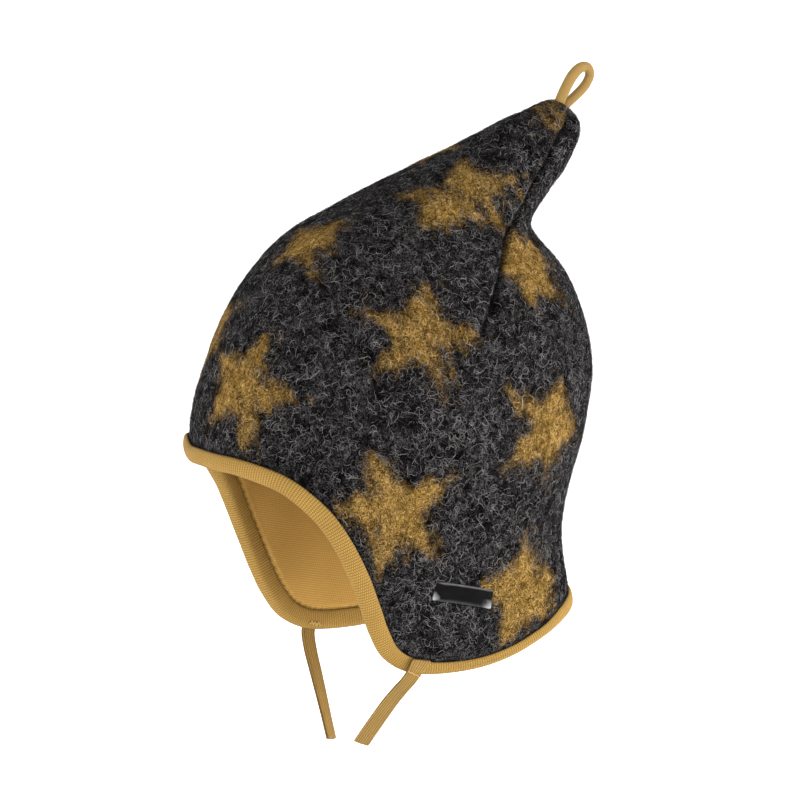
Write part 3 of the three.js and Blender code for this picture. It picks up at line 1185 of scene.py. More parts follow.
STARS = (
    Star(
        77,
        5.94,
        (48, 77, 119, 152, 186, 214, 252, 288, 325, 358),
        (11, 28.5, 12, 31, 11, 30, 10, 30, 7.5, 32),
        depth=2.5,
    ),
    Star(
        71.5,
        9.48,
        (17, 39, 66, 97, 146, 187, 211, 233, 272, 335),
        (12.5, 37, 12, 23, 11.5, 29, 18, 32, 10.5, 25),
        Panel.FRONT,
        3.0,
    ),
    Star(
        119,
        7.27,
        (14, 37, 85, 126, 186, 212, 246, 274, 310, 333),
        (17, 17, 18, 13, 18, 10.5, 24.5, 14.5, 23, 13.5),
        Panel.BACK,
    ),
    Star(
        15.5,
        7.87,
        (3, 38, 72, 105, 146, 182, 219, 277, 312, 340),
        (17, 11, 23, 12, 22, 12, 20, 10.5, 20, 9.5),
    ),
    Star(
        16.5,
        5.01,
        (25, 72, 116, 154, 177, 216, 262, 286, 313, 357),
        (10.5, 25, 12, 29, 16, 31, 11.5, 30, 10, 34),
    ),
    Star(
        116.5,
        4.27,
        (30, 62, 96, 140, 180, 216, 260, 279, 312, 352),
        (13.5, 26, 11, 29, 9.5, 31, 12, 29, 14, 29),
    ),
    Star(
        76.5,
        3.05,
        (29, 69, 118, 152, 174, 216, 254, 279, 310, 346),
        (31, 9, 28, 15, 33, 14, 31, 11.5, 29, 9),
    ),
    Star(
        116,
        1.58,
        (9, 42, 91, 124, 167, 204, 246, 282, 320, 345),
        (29, 12.5, 27, 12, 26, 13, 28, 13.5, 25, 16),
    ),
    even_star(66, 14.3, 250, 20, Panel.FRONT, depth=-0.8),
    even_star(-17, 5.8, 52, 23, waist=0.5),
    even_star(-62, 7.2, 48, 24),
    even_star(-62, 3.9, 8, 26),
    even_star(-98, 5.6, 33, 25),
    even_star(-100, 2.6, 60, 26),
    even_star(-138, 1.7, 12, 25),
    even_star(-138, 4.3, 40, 26),
    even_star(-140, 7.5, 50, 22, Panel.BACK),
    even_star(-92, 8.6, 20, 18, Panel.FRONT),
    even_star(-178, 5.9, 26, 25),
    even_star(178, 3.0, 44, 26),
    even_star(-25, 10.6, 15, 19, Panel.FRONT),
)


@dataclass(frozen=True)
class StarPrint:
    """The cloth's stars as a signed distance: negative inside a star, in millimetres."""

    form: CapForm
    stars: tuple[Star, ...] = STARS
    far: float = 40.0
    wander: float = 1.3
    wander_pitch: float = 17.0
    ragged: float = 1.3
    ragged_pitch: float = 7.0
    fade: float = 2.2
    fade_span: Span = (0.45, 1.0)
    smear: Span = (5.5, -1.5)
    smear_thin: float = 3.0

    def distance(self, points: Array, behind: Array) -> Array:
        """Distance to the nearest star's outline, made uneven by soft waves of two sizes.

        Args:
            points: places on the felt.
            behind: degrees behind the dart, negative in front of it and not a number below the darts.

        Returns:
            The distance at each place.
        """
        nearest = np.full(points.shape[:-1], self.far)
        for star in self.stars:
            nearest = np.minimum(nearest, self._one(star, points, behind))
        uneven = self.wander * waves(points, self.wander_pitch, Seed.STAR_WANDER)
        uneven = uneven + self.ragged * waves(points, self.ragged_pitch, Seed.STAR_RAGGED)
        return nearest + uneven

    def _one(self, star: Star, points: Array, behind: Array) -> Array:
        """Distance to one star with the cloth round its middle laid flat: fading arms and a thin smear.

        Args:
            star: the star.
            points: places on the felt.
            behind: degrees behind the dart.

        Returns:
            The distance at each place.
        """
        around = np.array(star.around, dtype=float)
        level = np.array(star.level, dtype=float)
        across, _, normal = self.form.directions(around, level)
        first = unit(across)
        second = np.cross(normal, first)
        reach = points - self.form.point(around, level)
        flat = np.stack([reach @ first, reach @ second], axis=-1)
        size = np.linalg.norm(reach, axis=-1)
        flat = flat * (size / np.maximum(np.linalg.norm(flat, axis=-1), 1e-6))[..., None]
        outline = star.outline()
        full = np.linalg.norm(outline, axis=-1).max()
        faded = self.fade * smoothstep(*self.fade_span, size / full)
        signed = np.maximum(self._signed(outline, flat), -star.depth) + faded
        smeared = np.maximum(self._signed(outline, flat - np.array(self.smear)), 0) + self.smear_thin
        other = np.nan_to_num(behind * star.panel.value, nan=-1) > 0
        return np.where(other | (size > self.far), self.far, np.minimum(signed, smeared))

    def _signed(self, outline: Array, flat: Array) -> Array:
        """Distance to an outline, negative where a line to one side crosses it an odd number of times.

        Args:
            outline: the corners.
            flat: places on the flat cloth.

        Returns:
            The distance at each place.
        """
        edge = np.roll(outline, -1, axis=0) - outline
        gap = flat[..., None, :] - outline
        share = np.clip((gap * edge).sum(-1) / (edge * edge).sum(-1), 0, 1)
        near = np.linalg.norm(gap - edge * share[..., None], axis=-1).min(axis=-1)
        ahead = (gap[..., 1] > 0) != (np.roll(gap, -1, axis=-2)[..., 1] > 0)
        turn = edge[:, 0] * gap[..., 1] - edge[:, 1] * gap[..., 0]
        crossing = ahead & ((turn > 0) == (edge[:, 1] < 0))
        return np.where(crossing.sum(axis=-1) % 2 == 1, -near, near)


@dataclass
class Fibres:
    """Loose curled fibres on the felt, in sets: flat ribbons in four tones from dark to light.

    The face's grids have their first column again at the end.
    """

    outer: Array
    stars: Array
    tuck: Array
    sets: int = 4
    each: int = 11700
    steps: int = 6
    shares: tuple[float, ...] = (0.29, 0.24, 0.25, 0.22)
    widths: tuple[float, ...] = (0.17, 0.15, 0.13, 0.12)
    wool: tuple[Colour, ...] = (srgb(2, 2, 2), srgb(7, 6, 7), srgb(40, 38, 39), srgb(150, 147, 146))
    gold: tuple[Colour, ...] = (srgb(50, 36, 16), srgb(100, 76, 34), srgb(152, 119, 60), srgb(214, 177, 112))
    uneven_tone: Span = (0.8, 1.2)
    uneven_width: Span = (0.75, 1.25)
    end_width: float = 0.35
    length: Span = (2.8, 6.4)
    turning: Span = (30, 250)
    sway: Span = (0.2, 0.9)
    sway_turns: Span = (4, 9)
    sway_start: Span = (0, 6.3)
    arch: Span = (0.1, 0.45)
    lift: Span = (-0.1, 0.1)
    lean: float = 0.35
    bare_rows: int = 6
    bare_tuck: Span = (0.1, 0.45)
    stray: float = 0.08
    stray_reach: float = 4.0
    star_edge: Span = (-5.0, 6.0)
    star_scatter: float = 1.0
    fade_span: Span = (0.0, 4.0)
    faded: float = 0.6

    def build(self) -> list[bpy.types.Object]:
        """Scatters the fibres evenly by area over the outer face, with few in its tucks.

        Returns:
            One object for each set.
        """
        side = self.outer[:-1, 1:] - self.outer[:-1, :-1]
        rise = self.outer[1:, :-1] - self.outer[:-1, :-1]
        area = np.linalg.norm(np.cross(side, rise), axis=-1)
        area = area * (1 - smoothstep(*self.bare_tuck, self.tuck[:-1, :-1]))
        area[: self.bare_rows] = 0
        material = FibreFinish().material()
        made = []
        for number in range(self.sets):
            rng = np.random.default_rng(Seed.FIBRES + number)
            mesh = self.one_set(f"felt_fibres_{number + 1}", area, rng)
            made.append(settle(put_object(mesh.name, mesh, material), "felt"))
        return made

    def curls(self, rng: np.random.Generator) -> tuple[Array, Array, Array]:
        """Flat lines of the fibres: steps along a heading that turns steadily and sways, added up.

        Args:
            rng: the random numbers.

        Returns:
            The heading and the two flat places at each step of each fibre.
        """
        each = (self.each, 1)
        length = rng.uniform(*self.length, self.each)
        turning = np.radians(rng.uniform(*self.turning, self.each)) * rng.choice([-1, 1], self.each)
        share = np.linspace(0, 1, self.steps + 1)
        swing = rng.uniform(*self.sway, each)
        phase = rng.uniform(*self.sway_turns, each) * share + rng.uniform(*self.sway_start, each)
        sway = swing * np.sin(phase)
        heading = rng.uniform(0, 2 * np.pi, each) + turning[:, None] * (share - 0.5) + sway
        step = (length / self.steps)[:, None]
        flat_x = np.cumsum(np.cos(heading) * step, axis=1)
        flat_y = np.cumsum(np.sin(heading) * step, axis=1)
        flat_x -= flat_x.mean(axis=1, keepdims=True)
        flat_y -= flat_y.mean(axis=1, keepdims=True)
        return heading, flat_x, flat_y

    def one_set(self, name: str, area: Array, rng: np.random.Generator) -> bpy.types.Mesh:
        """One set: curls laid on the face at their roots, arched off it, that taper to both ends.

        Args:
            name: the mesh's name.
            area: the area of each face of the grid.
            rng: the random numbers.

        Returns:
            The mesh with the fibres' colours on its points.
        """
        each = (self.each, 1)
        heap = np.cumsum(area.ravel())
        cell = np.searchsorted(heap, rng.uniform(0, heap[-1], self.each))
        row, column = np.unravel_index(cell, area.shape)
        up, over = rng.uniform(0, 1, (2, self.each))

        def blend(grid: Array) -> Array:
            """Values of a grid within the chosen faces, mixed from their four corners.

            Args:
                grid: values at the outer face's points.

            Returns:
                A value for each fibre.
            """
            shape = (-1,) + (1,) * (grid.ndim - 2)
            low = lerp(grid[row, column], grid[row, column + 1], over.reshape(shape))
            high = lerp(grid[row + 1, column], grid[row + 1, column + 1], over.reshape(shape))
            return lerp(low, high, up.reshape(shape))

        first = unit(self.outer[row, column + 1] - self.outer[row, column])
        normal = unit(np.cross(first, self.outer[row + 1, column] - self.outer[row, column]))
        second = np.cross(normal, first)

        def placed(along: Array, across: Array, off: Array) -> Array:
            """Vectors from their parts along the face's two ways and off it."""
            parts = zip((first, second, normal), (along, across, off))
            return sum(way[:, None] * part[..., None] for way, part in parts)

        heading, flat_x, flat_y = self.curls(rng)
        bow = np.sin(np.pi * np.linspace(0, 1, self.steps + 1))
        arch = rng.uniform(*self.arch, each) * bow + rng.uniform(*self.lift, each)
        line = blend(self.outer)[:, None] + placed(flat_x, flat_y, arch)
        kind = rng.choice(len(self.shares), self.each, p=self.shares)
        thick = np.array(self.widths)[kind, None] * rng.uniform(*self.uneven_width, each)
        width = thick * lerp(self.end_width, 1, bow)
        lean = rng.normal(0, self.lean, each)
        half = unit(placed(-np.sin(heading), np.cos(heading), lean)) * (width / 2)[..., None]
        points = np.stack([line + half, line - half], axis=2)
        mesh = many(name, points, closed=False)
        tones = self.tones(kind, blend(self.stars), rng)
        painted = np.repeat(tones, points.shape[1] * 2, axis=0).astype(np.float32)
        mesh.attributes.new(TONE_MAP, "FLOAT_COLOR", "POINT").data.foreach_set("color", painted.ravel())
        return mesh

    def tones(self, kind: Array, edge: Array, rng: np.random.Generator) -> Array:
        """A colour for each fibre: gold inside the stars, dark to light grey outside, mixed at the edge.

        Args:
            kind: which of the four tones each fibre has, from dark to light.
            edge: distance of each fibre to the stars.
            rng: the random numbers.

        Returns:
            The linear colours.
        """
        loose = rng.uniform(size=self.each) < self.stray
        scattered = edge + rng.normal(0, self.star_scatter, self.each)
        share = np.where(loose, 0, 1 - smoothstep(*self.star_edge, scattered))
        dull = np.where(loose & (edge < self.stray_reach), np.minimum(kind, 1), kind)
        misty = np.where(edge > 0, np.minimum(kind, 2), kind)
        gold = np.array(self.gold)[misty]
        gold[:, :3] *= lerp(1.0, self.faded, smoothstep(*self.fade_span, edge))[:, None]
        tone = np.where((rng.uniform(size=self.each) < share)[:, None], gold, np.array(self.wool)[dull])
        tone[:, :3] *= rng.uniform(*self.uneven_tone, (self.each, 1))
        return tone


@dataclass
class FeltCrown:
    """The boiled wool crown: a dense outer face with puffs and darts, a plain inner face and loose fibres."""

    form: CapForm
    wall: float = 2.5
    cut_edge: float = 1.5
    band: float = 9.8
    columns: tuple[int, int, int] = (85, 19, 61)
    band_rows: int = 7
    lower_rows: int = 56
    upper_rows: tuple[int, int] = (90, 14)
    upper_split: float = 15.0
    inner_rows: tuple[tuple[int, int, int], ...] = ((0, 7, 3), (10, 63, 6), (64, 130, 6))
    inner_top: float = 13.4
    inner_pole: float = 13.85
    settled: float = 0.75
    settled_cone: float = 0.15
    cone_span: Span = (8.4, 9.6)
    neck: float = 1.7
    neck_level: float = 8.3
    neck_width: float = 1.2
    neck_span: Span = (95, 125)
    puff: float = 0.4
    puff_back: float = 1.7
    puff_span: Span = (0.6, 0.85)
    puff_rise: Span = (-0.6, 3.0)
    puff_fall: Span = (6, 34)
    lumps: float = 0.28
    lump_pitches: Span = (34, 15)
    lump_shares: Span = (0.6, 0.4)
    groove: float = 1.7
    groove_width: float = 1.1
    lip_puff: float = 0.5
    lip_place: float = 3.6
    lip_width: float = 1.9
    tip_span: Span = (15.2, 15.9)
    seam_shade: float = 0.8
    seam_width: float = 1.0
    edge_shade: float = 0.65
    edge_width: float = 0.75
    dart_clear: float = 0.4

    def places(self) -> ClothPlaces:
        """Places of the cloth's grid: close columns over the dart, and rows about two millimetres apart.

        Returns:
            The places.
        """
        ends = (0, *self.form.lips(), 1)
        spans = [np.linspace(start, end, count) for start, end, count in zip(ends, ends[1:], self.columns)]
        halves = np.concatenate([spans[0][:-1], spans[1][:-1], spans[2]])
        band = np.linspace(self.cut_edge, self.band, self.band_rows)
        lower = np.linspace(self.form.dart_end, self.upper_split, self.upper_rows[0])
        upper = np.linspace(self.upper_split, self.form.tip, self.upper_rows[1])
        return self.form.cloth(halves, band, self.lower_rows, np.concatenate([lower[1:], upper[1:]]))

    def relief(self, places: ClothPlaces, points: Array) -> Array:
        """Height on the form: sunk by the felt's give, with puffs at the binding and neck, lumps and grooves.

        Args:
            places: the cloth's grid.
            points: its points on the form.

        Returns:
            The height at each place.
        """
        into = places.climb(self.form, self.cut_edge)
        leg = self.form.outer_leg(places.half)
        rise = smoothstep(*(leg + end for end in self.puff_rise), into)
        fall = 1 - smoothstep(*(leg + end for end in self.puff_fall), into)
        puff = lerp(self.puff, self.puff_back, smoothstep(*self.puff_span, places.half))
        neck = hill(places.level, self.neck_level, self.neck_width)
        neck = neck * smoothstep(*self.neck_span, np.abs(places.around))
        sunk = lerp(self.settled, self.settled_cone, smoothstep(*self.cone_span, places.level))
        puff = rise * (puff * fall + self.neck * neck - sunk)
        large = self.lump_shares[0] * waves(points, self.lump_pitches[0], Seed.LUMPS)
        small = self.lump_shares[1] * waves(points, self.lump_pitches[1], Seed.SMALL_LUMPS)
        lumps = self.lumps * rise * (large + small)
        width = self.off_dart(places)
        groove = -self.groove * hill(width, 0, self.groove_width)
        lips = self.lip_puff * hill(width, self.lip_place, self.lip_width)
        fade = 1 - smoothstep(*self.tip_span, places.level)
        return (puff + lumps) * fade + self.form.dart_share(places.level) * (groove + lips)

    def tuck(self, places: ClothPlaces) -> Array:
        """Painted shade from 0 to 1: bells across the dart's groove and against the binding's edge.

        Args:
            places: the cloth's grid.

        Returns:
            The shade at each place.
        """
        seam = self.form.dart_share(places.level) * hill(self.off_dart(places), 0, self.seam_width)
        into = places.climb(self.form, self.cut_edge) - self.form.outer_leg(places.half)
        edge = hill(np.maximum(into, 0), 0, self.edge_width)
        return np.maximum(self.seam_shade * seam, self.edge_shade * edge)

    def past_dart(self, places: ClothPlaces) -> Array:
        """Degrees behind the dart's line on either side, negative in front of it."""
        return np.abs(places.around) - self.form.dart_around(np.maximum(places.level, self.form.dart_end))

    def off_dart(self, places: ClothPlaces) -> Array:
        """Distance across the cloth from the nearer dart's line."""
        return np.radians(np.abs(self.past_dart(places))) * SECTIONS.at(places.level, "half_width")

    def build(self) -> list[bpy.types.Object]:
        """Makes the cloth and its fibres.

        Returns:
            The pieces.
        """
        places = self.places()
        ground = self.form.point(places.around, places.level)
        outer = self.form.off(places.around, places.level, self.relief(places, ground))
        above = places.level > self.form.dart_end + self.dart_clear
        prints = StarPrint(self.form)
        stars = prints.distance(outer, np.where(above, self.past_dart(places), np.nan))
        tuck = self.tuck(places)
        inner = self.inner_face(places)
        numbers = {
            STAR_MAP: np.concatenate([np.full(inner.shape[:2], prints.far), stars]),
            TUCK_MAP: np.concatenate([np.zeros(inner.shape[:2]), tuck]),
        }
        patch = Patch(np.concatenate([inner[::-1], outer]), numbers=numbers)
        cloth = patch_object("felt_crown_cloth", patch, FeltFinish().material())
        settle(cloth, "felt", "felt_crown")
        return [cloth, *Fibres(ringed(outer), ringed(stars), ringed(tuck)).build()]

    def inner_face(self, places: ClothPlaces) -> Array:
        """Plain face a wall's depth below the outer one, with fewer rows, closed in the cone.

        Args:
            places: the cloth's grid.

        Returns:
            The points, with the closing pole as the last row.
        """
        rows = np.concatenate([np.arange(*span) for span in self.inner_rows])
        level = np.minimum(places.level[rows], self.inner_top)
        face = self.form.off(places.around[rows], level, np.full(level.shape, -self.wall))
        pole = self.form.middle(self.inner_pole)
        return np.concatenate([face, np.broadcast_to(pole, (1, face.shape[1], 3))])


@dataclass
class Lining:
    """The jersey lining: a thin shell inside the felt that puffs out behind the binding."""

    form: CapForm
    depth: float = 3.0
    wall: float = 1.0
    leg: float = 8.0
    columns: int = 201
    band_start: Span = (1.5, 5.0)
    band: tuple[float, float, int] = (7, 15, 12)
    rows: int = 24
    outer_step: int = 4
    puff: float = 2.3
    puff_left: float = 2.1
    puff_rise: Span = (-0.4, 2.4)
    puff_power: float = 0.7
    puff_fall: Span = (6, 45)
    lumps: float = 0.35
    lump_pitch: float = 30.0
    gather: float = 0.4
    gather_pitch: float = 3.6
    gather_place: float = 1.4
    gather_width: float = 1.5
    gather_wander: float = 1.2
    wander_pitch: float = 12.0
    shade: float = 0.75
    shade_place: float = 0.1
    shade_ripple: float = 0.35
    shade_width: float = 0.75
    close: float = 12.35
    close_span: float = 2.5
    mean_radius: float = 72.0
    length_steps: int = 200

    def knit(self, places: ClothPlaces) -> Array:
        """Flat places of the knit: the angle on a mean radius, and the side line's length up to a section.

        Args:
            places: the cloth's grid.

        Returns:
            The two distances on the grid, with its first column again at the end.
        """
        turned = ringed(places.around)
        columns = np.arange(turned.shape[1])
        turned = turned + np.where(columns > columns[-1] // 2, 360, 0)
        levels = np.linspace(0, self.close, self.length_steps)
        length = run_length(self.form.point(np.full(levels.shape, 90.0), levels))
        climb = np.interp(ringed(places.level), levels, length)
        return np.stack([climb, np.radians(turned) * self.mean_radius], axis=-1)

    def build(self) -> bpy.types.Object:
        """Makes the shell: a plain outer face and a puffed inner one with gathers and painted shade along the
        groove, closed in the cone.

        Returns:
            The object.
        """
        band = np.concatenate([self.band_start, np.linspace(*self.band)])
        upper = np.linspace(self.form.dart_end, self.close, self.rows)[1:]
        places = self.form.cloth(np.linspace(0, 1, self.columns), band, self.rows, upper)
        into = places.climb(self.form, band[0])
        rise = smoothstep(*(self.leg + end for end in self.puff_rise), into) ** self.puff_power
        fall = 1 - smoothstep(*(self.leg + end for end in self.puff_fall), into)
        ground = self.form.point(places.around, places.level)
        girth = places.girth(self.form)
        turns = np.round(girth[-1] / self.gather_pitch) * 2 * np.pi / girth[-1]
        wander = self.gather_wander * waves(ground, self.wander_pitch, Seed.GATHERS)
        ripple = np.sin(turns * girth[:-1] + wander)
        gather = self.gather * hill(into, self.leg + self.gather_place, self.gather_width) * ripple
        # painted shade: a dark line in the groove between the binding and the puffed lining, rippled with the
        # gathers
        edge = self.leg + self.shade_place + self.shade_ripple * ripple
        tuck = hill(into, edge, self.shade_width) * self.shade
        lumps = self.lumps * waves(ground, self.lump_pitch, Seed.LINING)
        puff = rise * (self.puff_left + (self.puff - self.puff_left) * fall + lumps) + gather
        top = smoothstep(self.close - self.close_span, self.close, places.level)
        inner = self.form.off(places.around, places.level, -(self.depth + self.wall + puff * (1 - top)))
        outer = self.form.off(places.around, places.level, np.full(into.shape, -self.depth))
        pole = np.broadcast_to(self.form.middle(self.close), (1, inner.shape[1], 3))
        rows = np.arange(0, len(outer), self.outer_step)
        points = np.concatenate([pole, inner[::-1], outer[rows], pole])
        flat = self.knit(places)
        flat = np.concatenate([flat[-1:], flat[::-1], flat[rows], flat[-1:]])
        none = np.zeros_like(tuck)
        shade = np.concatenate([none[:1], tuck[::-1], none[rows], none[:1]])
        finish = JerseyFinish("lining_jersey", srgb(148, 111, 52), srgb(208, 166, 92), relief=0.2)
        patch = Patch(points, flat=flat, numbers={TUCK_MAP: shade})
        return settle(patch_object("lining_cloth", patch, finish.material()), "jersey", "lining")


@dataclass
class RimBinding:
    """The ribbed strip folded over the rim, with one leg outside and one inside."""

    form: CapForm
    ribs: int = 490
    rib_steps: int = 5
    rib_height: float = 0.06
    rib_sink: float = 0.6
    profile_points: int = 34
    inner_leg: float = 8.0
    brow_swell: float = 0.4
    brow_span: Span = (0.05, 0.3)
    length_steps: int = 4001

    def profile(self, half: Array, leg: Array) -> tuple[Array, Array]:
        """Closed smooth section: distance off the felt and distance into the cloth, prouder over the brow.

        Args:
            half: the half column of each station.
            leg: width of the outer leg at each station.

        Returns:
            The two distances, each with a row for each section point.
        """
        inner = self.inner_leg
        section = Rows(
            ("off", "fixed", "share"),
            [
                (-2.05, 0, 0),
                (0.2, 0.25, 0),
                (1.3, 1.2, 0),
                (1.72, 2.6, 0),
                (1.8, 0, 0.55),
                (1.62, -1.3, 1),
                (1.1, -0.25, 1),
                (0.35, 0, 1),
                (0.3, -1.5, 1),
                (0.3, 1.9, 0),
                (-0.8, 1.3, 0),
                (-3.4, 1.3, 0),
                (-4.4, 1.9, 0),
                (-4.4, inner - 1.5, 0),
                (-4.5, inner, 0),
                (-5.3, inner - 0.2, 0),
                (-5.8, inner - 1.3, 0),
                (-6.0, inner * 0.55, 0),
                (-5.8, 2.4, 0),
                (-5.4, 1.2, 0),
                (-4.3, 0.25, 0),
                (-2.05, 0, 0),
            ],
        )
        place = np.linspace(0, section.last, self.profile_points + 1)[:-1]
        off, fixed, share = np.moveaxis(section.at(place, "off", "fixed", "share"), -1, 0)
        proud = np.maximum(off, 0)[:, None] * self.brow_swell * (1 - smoothstep(*self.brow_span, half))
        return off[:, None] + proud, fixed[:, None] + share[:, None] * leg

    def stations(self) -> Array:
        """Turns round the rim from 0 to 2, evenly spaced along its length, some for each rib.

        Returns:
            The turns.
        """
        fine = np.linspace(0, 2, self.length_steps)
        around, level = self.form.rim_edge(np.where(fine <= 1, fine, 2 - fine))
        length = run_length(self.form.point(np.where(fine <= 1, around, -around), level))
        return np.interp(np.linspace(0, length[-1], self.ribs * self.rib_steps + 1)[:-1], length, fine)

    def build(self) -> bpy.types.Object:
        """Carries the section once round the rim and raises each rib by a half sine along the normal.

        Returns:
            The object.
        """
        turn = self.stations()
        half = np.where(turn <= 1, turn, 2 - turn)
        side = np.where(turn <= 1, 1.0, -1.0)
        off, into = self.profile(half, self.form.outer_leg(half))
        around, level = self.form.rim_place(np.broadcast_to(half, into.shape), into)
        points = self.form.off(around * side, level, off)
        along = np.roll(points, -self.rib_steps, axis=1) - np.roll(points, self.rib_steps, axis=1)
        over = np.roll(points, -1, axis=0) - np.roll(points, 1, axis=0)
        row = np.arange(len(turn) + 1) / self.rib_steps
        height = self.rib_height * (np.abs(np.sin(np.pi * row[:-1])) - self.rib_sink)
        points = points + unit(np.cross(along, over)) * height[:, None]
        loop = np.concatenate([points, points[:1]])
        climb = np.concatenate([[0], np.cumsum(np.linalg.norm(np.diff(loop, axis=0), axis=-1).mean(axis=1))])
        finish = RibFinish("binding_rib", srgb(98, 73, 31), srgb(173, 137, 70), relief=0.22)
        flat = np.stack(np.meshgrid(row * finish.rib, climb), axis=-1)
        patch = Patch(points, closed_rows=True, flat=flat)
        return settle(patch_object("rim_binding_strip", patch, finish.material()), "rib_strip", "rim_binding")


class TieSide(Enum):
    """The two ties, named for the wearer's side."""

    LEFT = "tie_left"
    RIGHT = "tie_right"

    @property
    def sign(self) -> float:
        """The side's sign on the frame's X."""
        return 1.0 if self is TieSide.LEFT else -1.0


TIE_ROUTES = {
    TieSide.LEFT: Rows(
        ROUTE,
        [
            (59.3, -13.2, -77),
            (58.5, -15.6, -81.2),
            (56.7, -17.8, -85.6),
            (51.4, -19, -90.2),
            (42.9, -19.7, -96.9),
            (34.1, -20.1, -104.2),
            (24.8, -20.4, -112),
            (16, -20.6, -119.4),
        ],
    ),
    TieSide.RIGHT: Rows(
        ROUTE,
        [
            (-60.3, -8.6, -77.2),
            (-59.6, -11, -81.2),
            (-58, -12.9, -85.8),
            (-52.4, -14.2, -92.4),
            (-45, -15.2, -99.8),
            (-36, -16.6, -108),
            (-26.8, -18.2, -116),
            (-17.4, -19.8, -124.4),
        ],
    ),
}


def strip_section(width: float, thick: float, count: int, power: float) -> Array:
    """Closed rounded section of a flat strip: a superellipse, side first and then the way it faces.

    Args:
        width: across the strip.
        thick: through it.
        count: number of points.
        power: squareness, 2 for an ellipse.

    Returns:
        The points.
    """
    angle = np.linspace(0, 2 * np.pi, count + 1)[:-1]
    wave = np.stack([np.cos(angle), np.sin(angle)], axis=1)
    return np.sign(wave) * np.abs(wave) ** (2 / power) * np.array([width / 2, thick / 2])


def swept(section: Array, route: Array, side: Array, face: Array) -> tuple[Array, Array]:
    """Sections carried along a route, closed at both ends by shrinking them to their middles.

    Args:
        section: points of the section at each place on the route.
        route: the places.
        side: the strip's side at each place.
        face: the way that its flat side faces.

    Returns:
        The grid of points and its distances across and along the strip.
    """
    body = route[:, None] + section[..., :1] * side[:, None] + section[..., 1:2] * face[:, None]
    ends = [np.broadcast_to(body[place].mean(axis=0), (1, *body.shape[1:])) for place in (0, -1)]
    points = np.concatenate([ends[0], body, ends[1]])
    across = run_length(np.concatenate([section[0], section[0, :1]]))
    along = run_length(route)
    along = np.concatenate([[-section[0, 0, 0]], along, [along[-1] + section[0, 0, 0]]])
    return points, np.stack(np.meshgrid(across, along), axis=-1)


@dataclass
class Tie:
    """A limp flat tie that hangs from the binding, with ribs along it and a cut end."""

    form: CapForm
    side: TieSide
    width: float = 6.4
    thick: float = 1.7
    squareness: float = 5.0
    section_points: int = 72
    around: float = 83.0
    level: float = 0.72
    route_points: int = 90
    path_points: int = 32
    rib_count: int = 7
    rib_height: float = 0.14
    rib_span: Span = (0.5, 0.38)
    rib_flat: float = 0.92
    tab: float = 0.25
    tab_span: Span = (0.0, 0.12)
    start_slant: float = 0.35
    end_slant: float = 0.0
    end_span: Span = (0.85, 1.0)
    twist: float = 0.0
    twist_span: Span = (0.15, 1.0)

    def strip(self) -> tuple[Array, Array, Array, Array]:
        """The route and its directions, turned about it by the twist.

        Returns:
            The points, the ways along the strip and to its side, and the way that its flat side faces.
        """
        route = smooth_route(TIE_ROUTES[self.side], self.route_points)
        facing = self.form.directions(np.array(self.side.sign * self.around), np.array(self.level))[2]
        along, beside, face = carried(route, facing)
        share = np.linspace(0, 1, len(route))[:, None]
        turn = np.radians(self.twist) * smoothstep(*self.twist_span, share)
        side = beside * np.cos(turn) + face * np.sin(turn)
        return route, along, side, face * np.cos(turn) - beside * np.sin(turn)

    def build(self, material: bpy.types.Material) -> bpy.types.Object:
        """Carries a ribbed section along the route and slants its ends.

        Args:
            material: the strip's finish.

        Returns:
            The object.
        """
        route, along, beside, face = self.strip()
        section = strip_section(self.width, self.thick, self.section_points, self.squareness)
        place = section[:, 0] / self.width
        ribs = self.rib_height * np.cos(2 * np.pi * self.rib_count * place) * np.sign(section[:, 1])
        ribs = ribs * smoothstep(*self.rib_span, np.abs(place))
        section = section + np.stack([np.zeros_like(ribs), ribs], axis=1)
        share = np.linspace(0, 1, len(route))
        wide = 1 + self.tab * (1 - smoothstep(*self.tab_span, share))
        section = section[None] * np.stack([wide, np.ones_like(wide)], axis=-1)[:, None]
        points, flat = swept(section, route, beside, face)
        flat[..., 0] = (np.concatenate([place, place[:1]]) * self.rib_count + 0.5) * self.rib_flat
        share = ended(share)[:, None]
        start = self.start_slant * (1 - smoothstep(*self.tab_span, share))
        cut = self.end_slant * smoothstep(*self.end_span, share) + start
        reach = ((points - ended(route)[:, None]) * ended(beside)[:, None]).sum(-1)
        points = points + ended(along)[:, None] * (cut * reach)[..., None]
        piece = patch_object(f"{self.side.value}_strip", Patch(points, flat=flat), material)
        settle(piece, "rib_strip", self.side.value)
        return piece


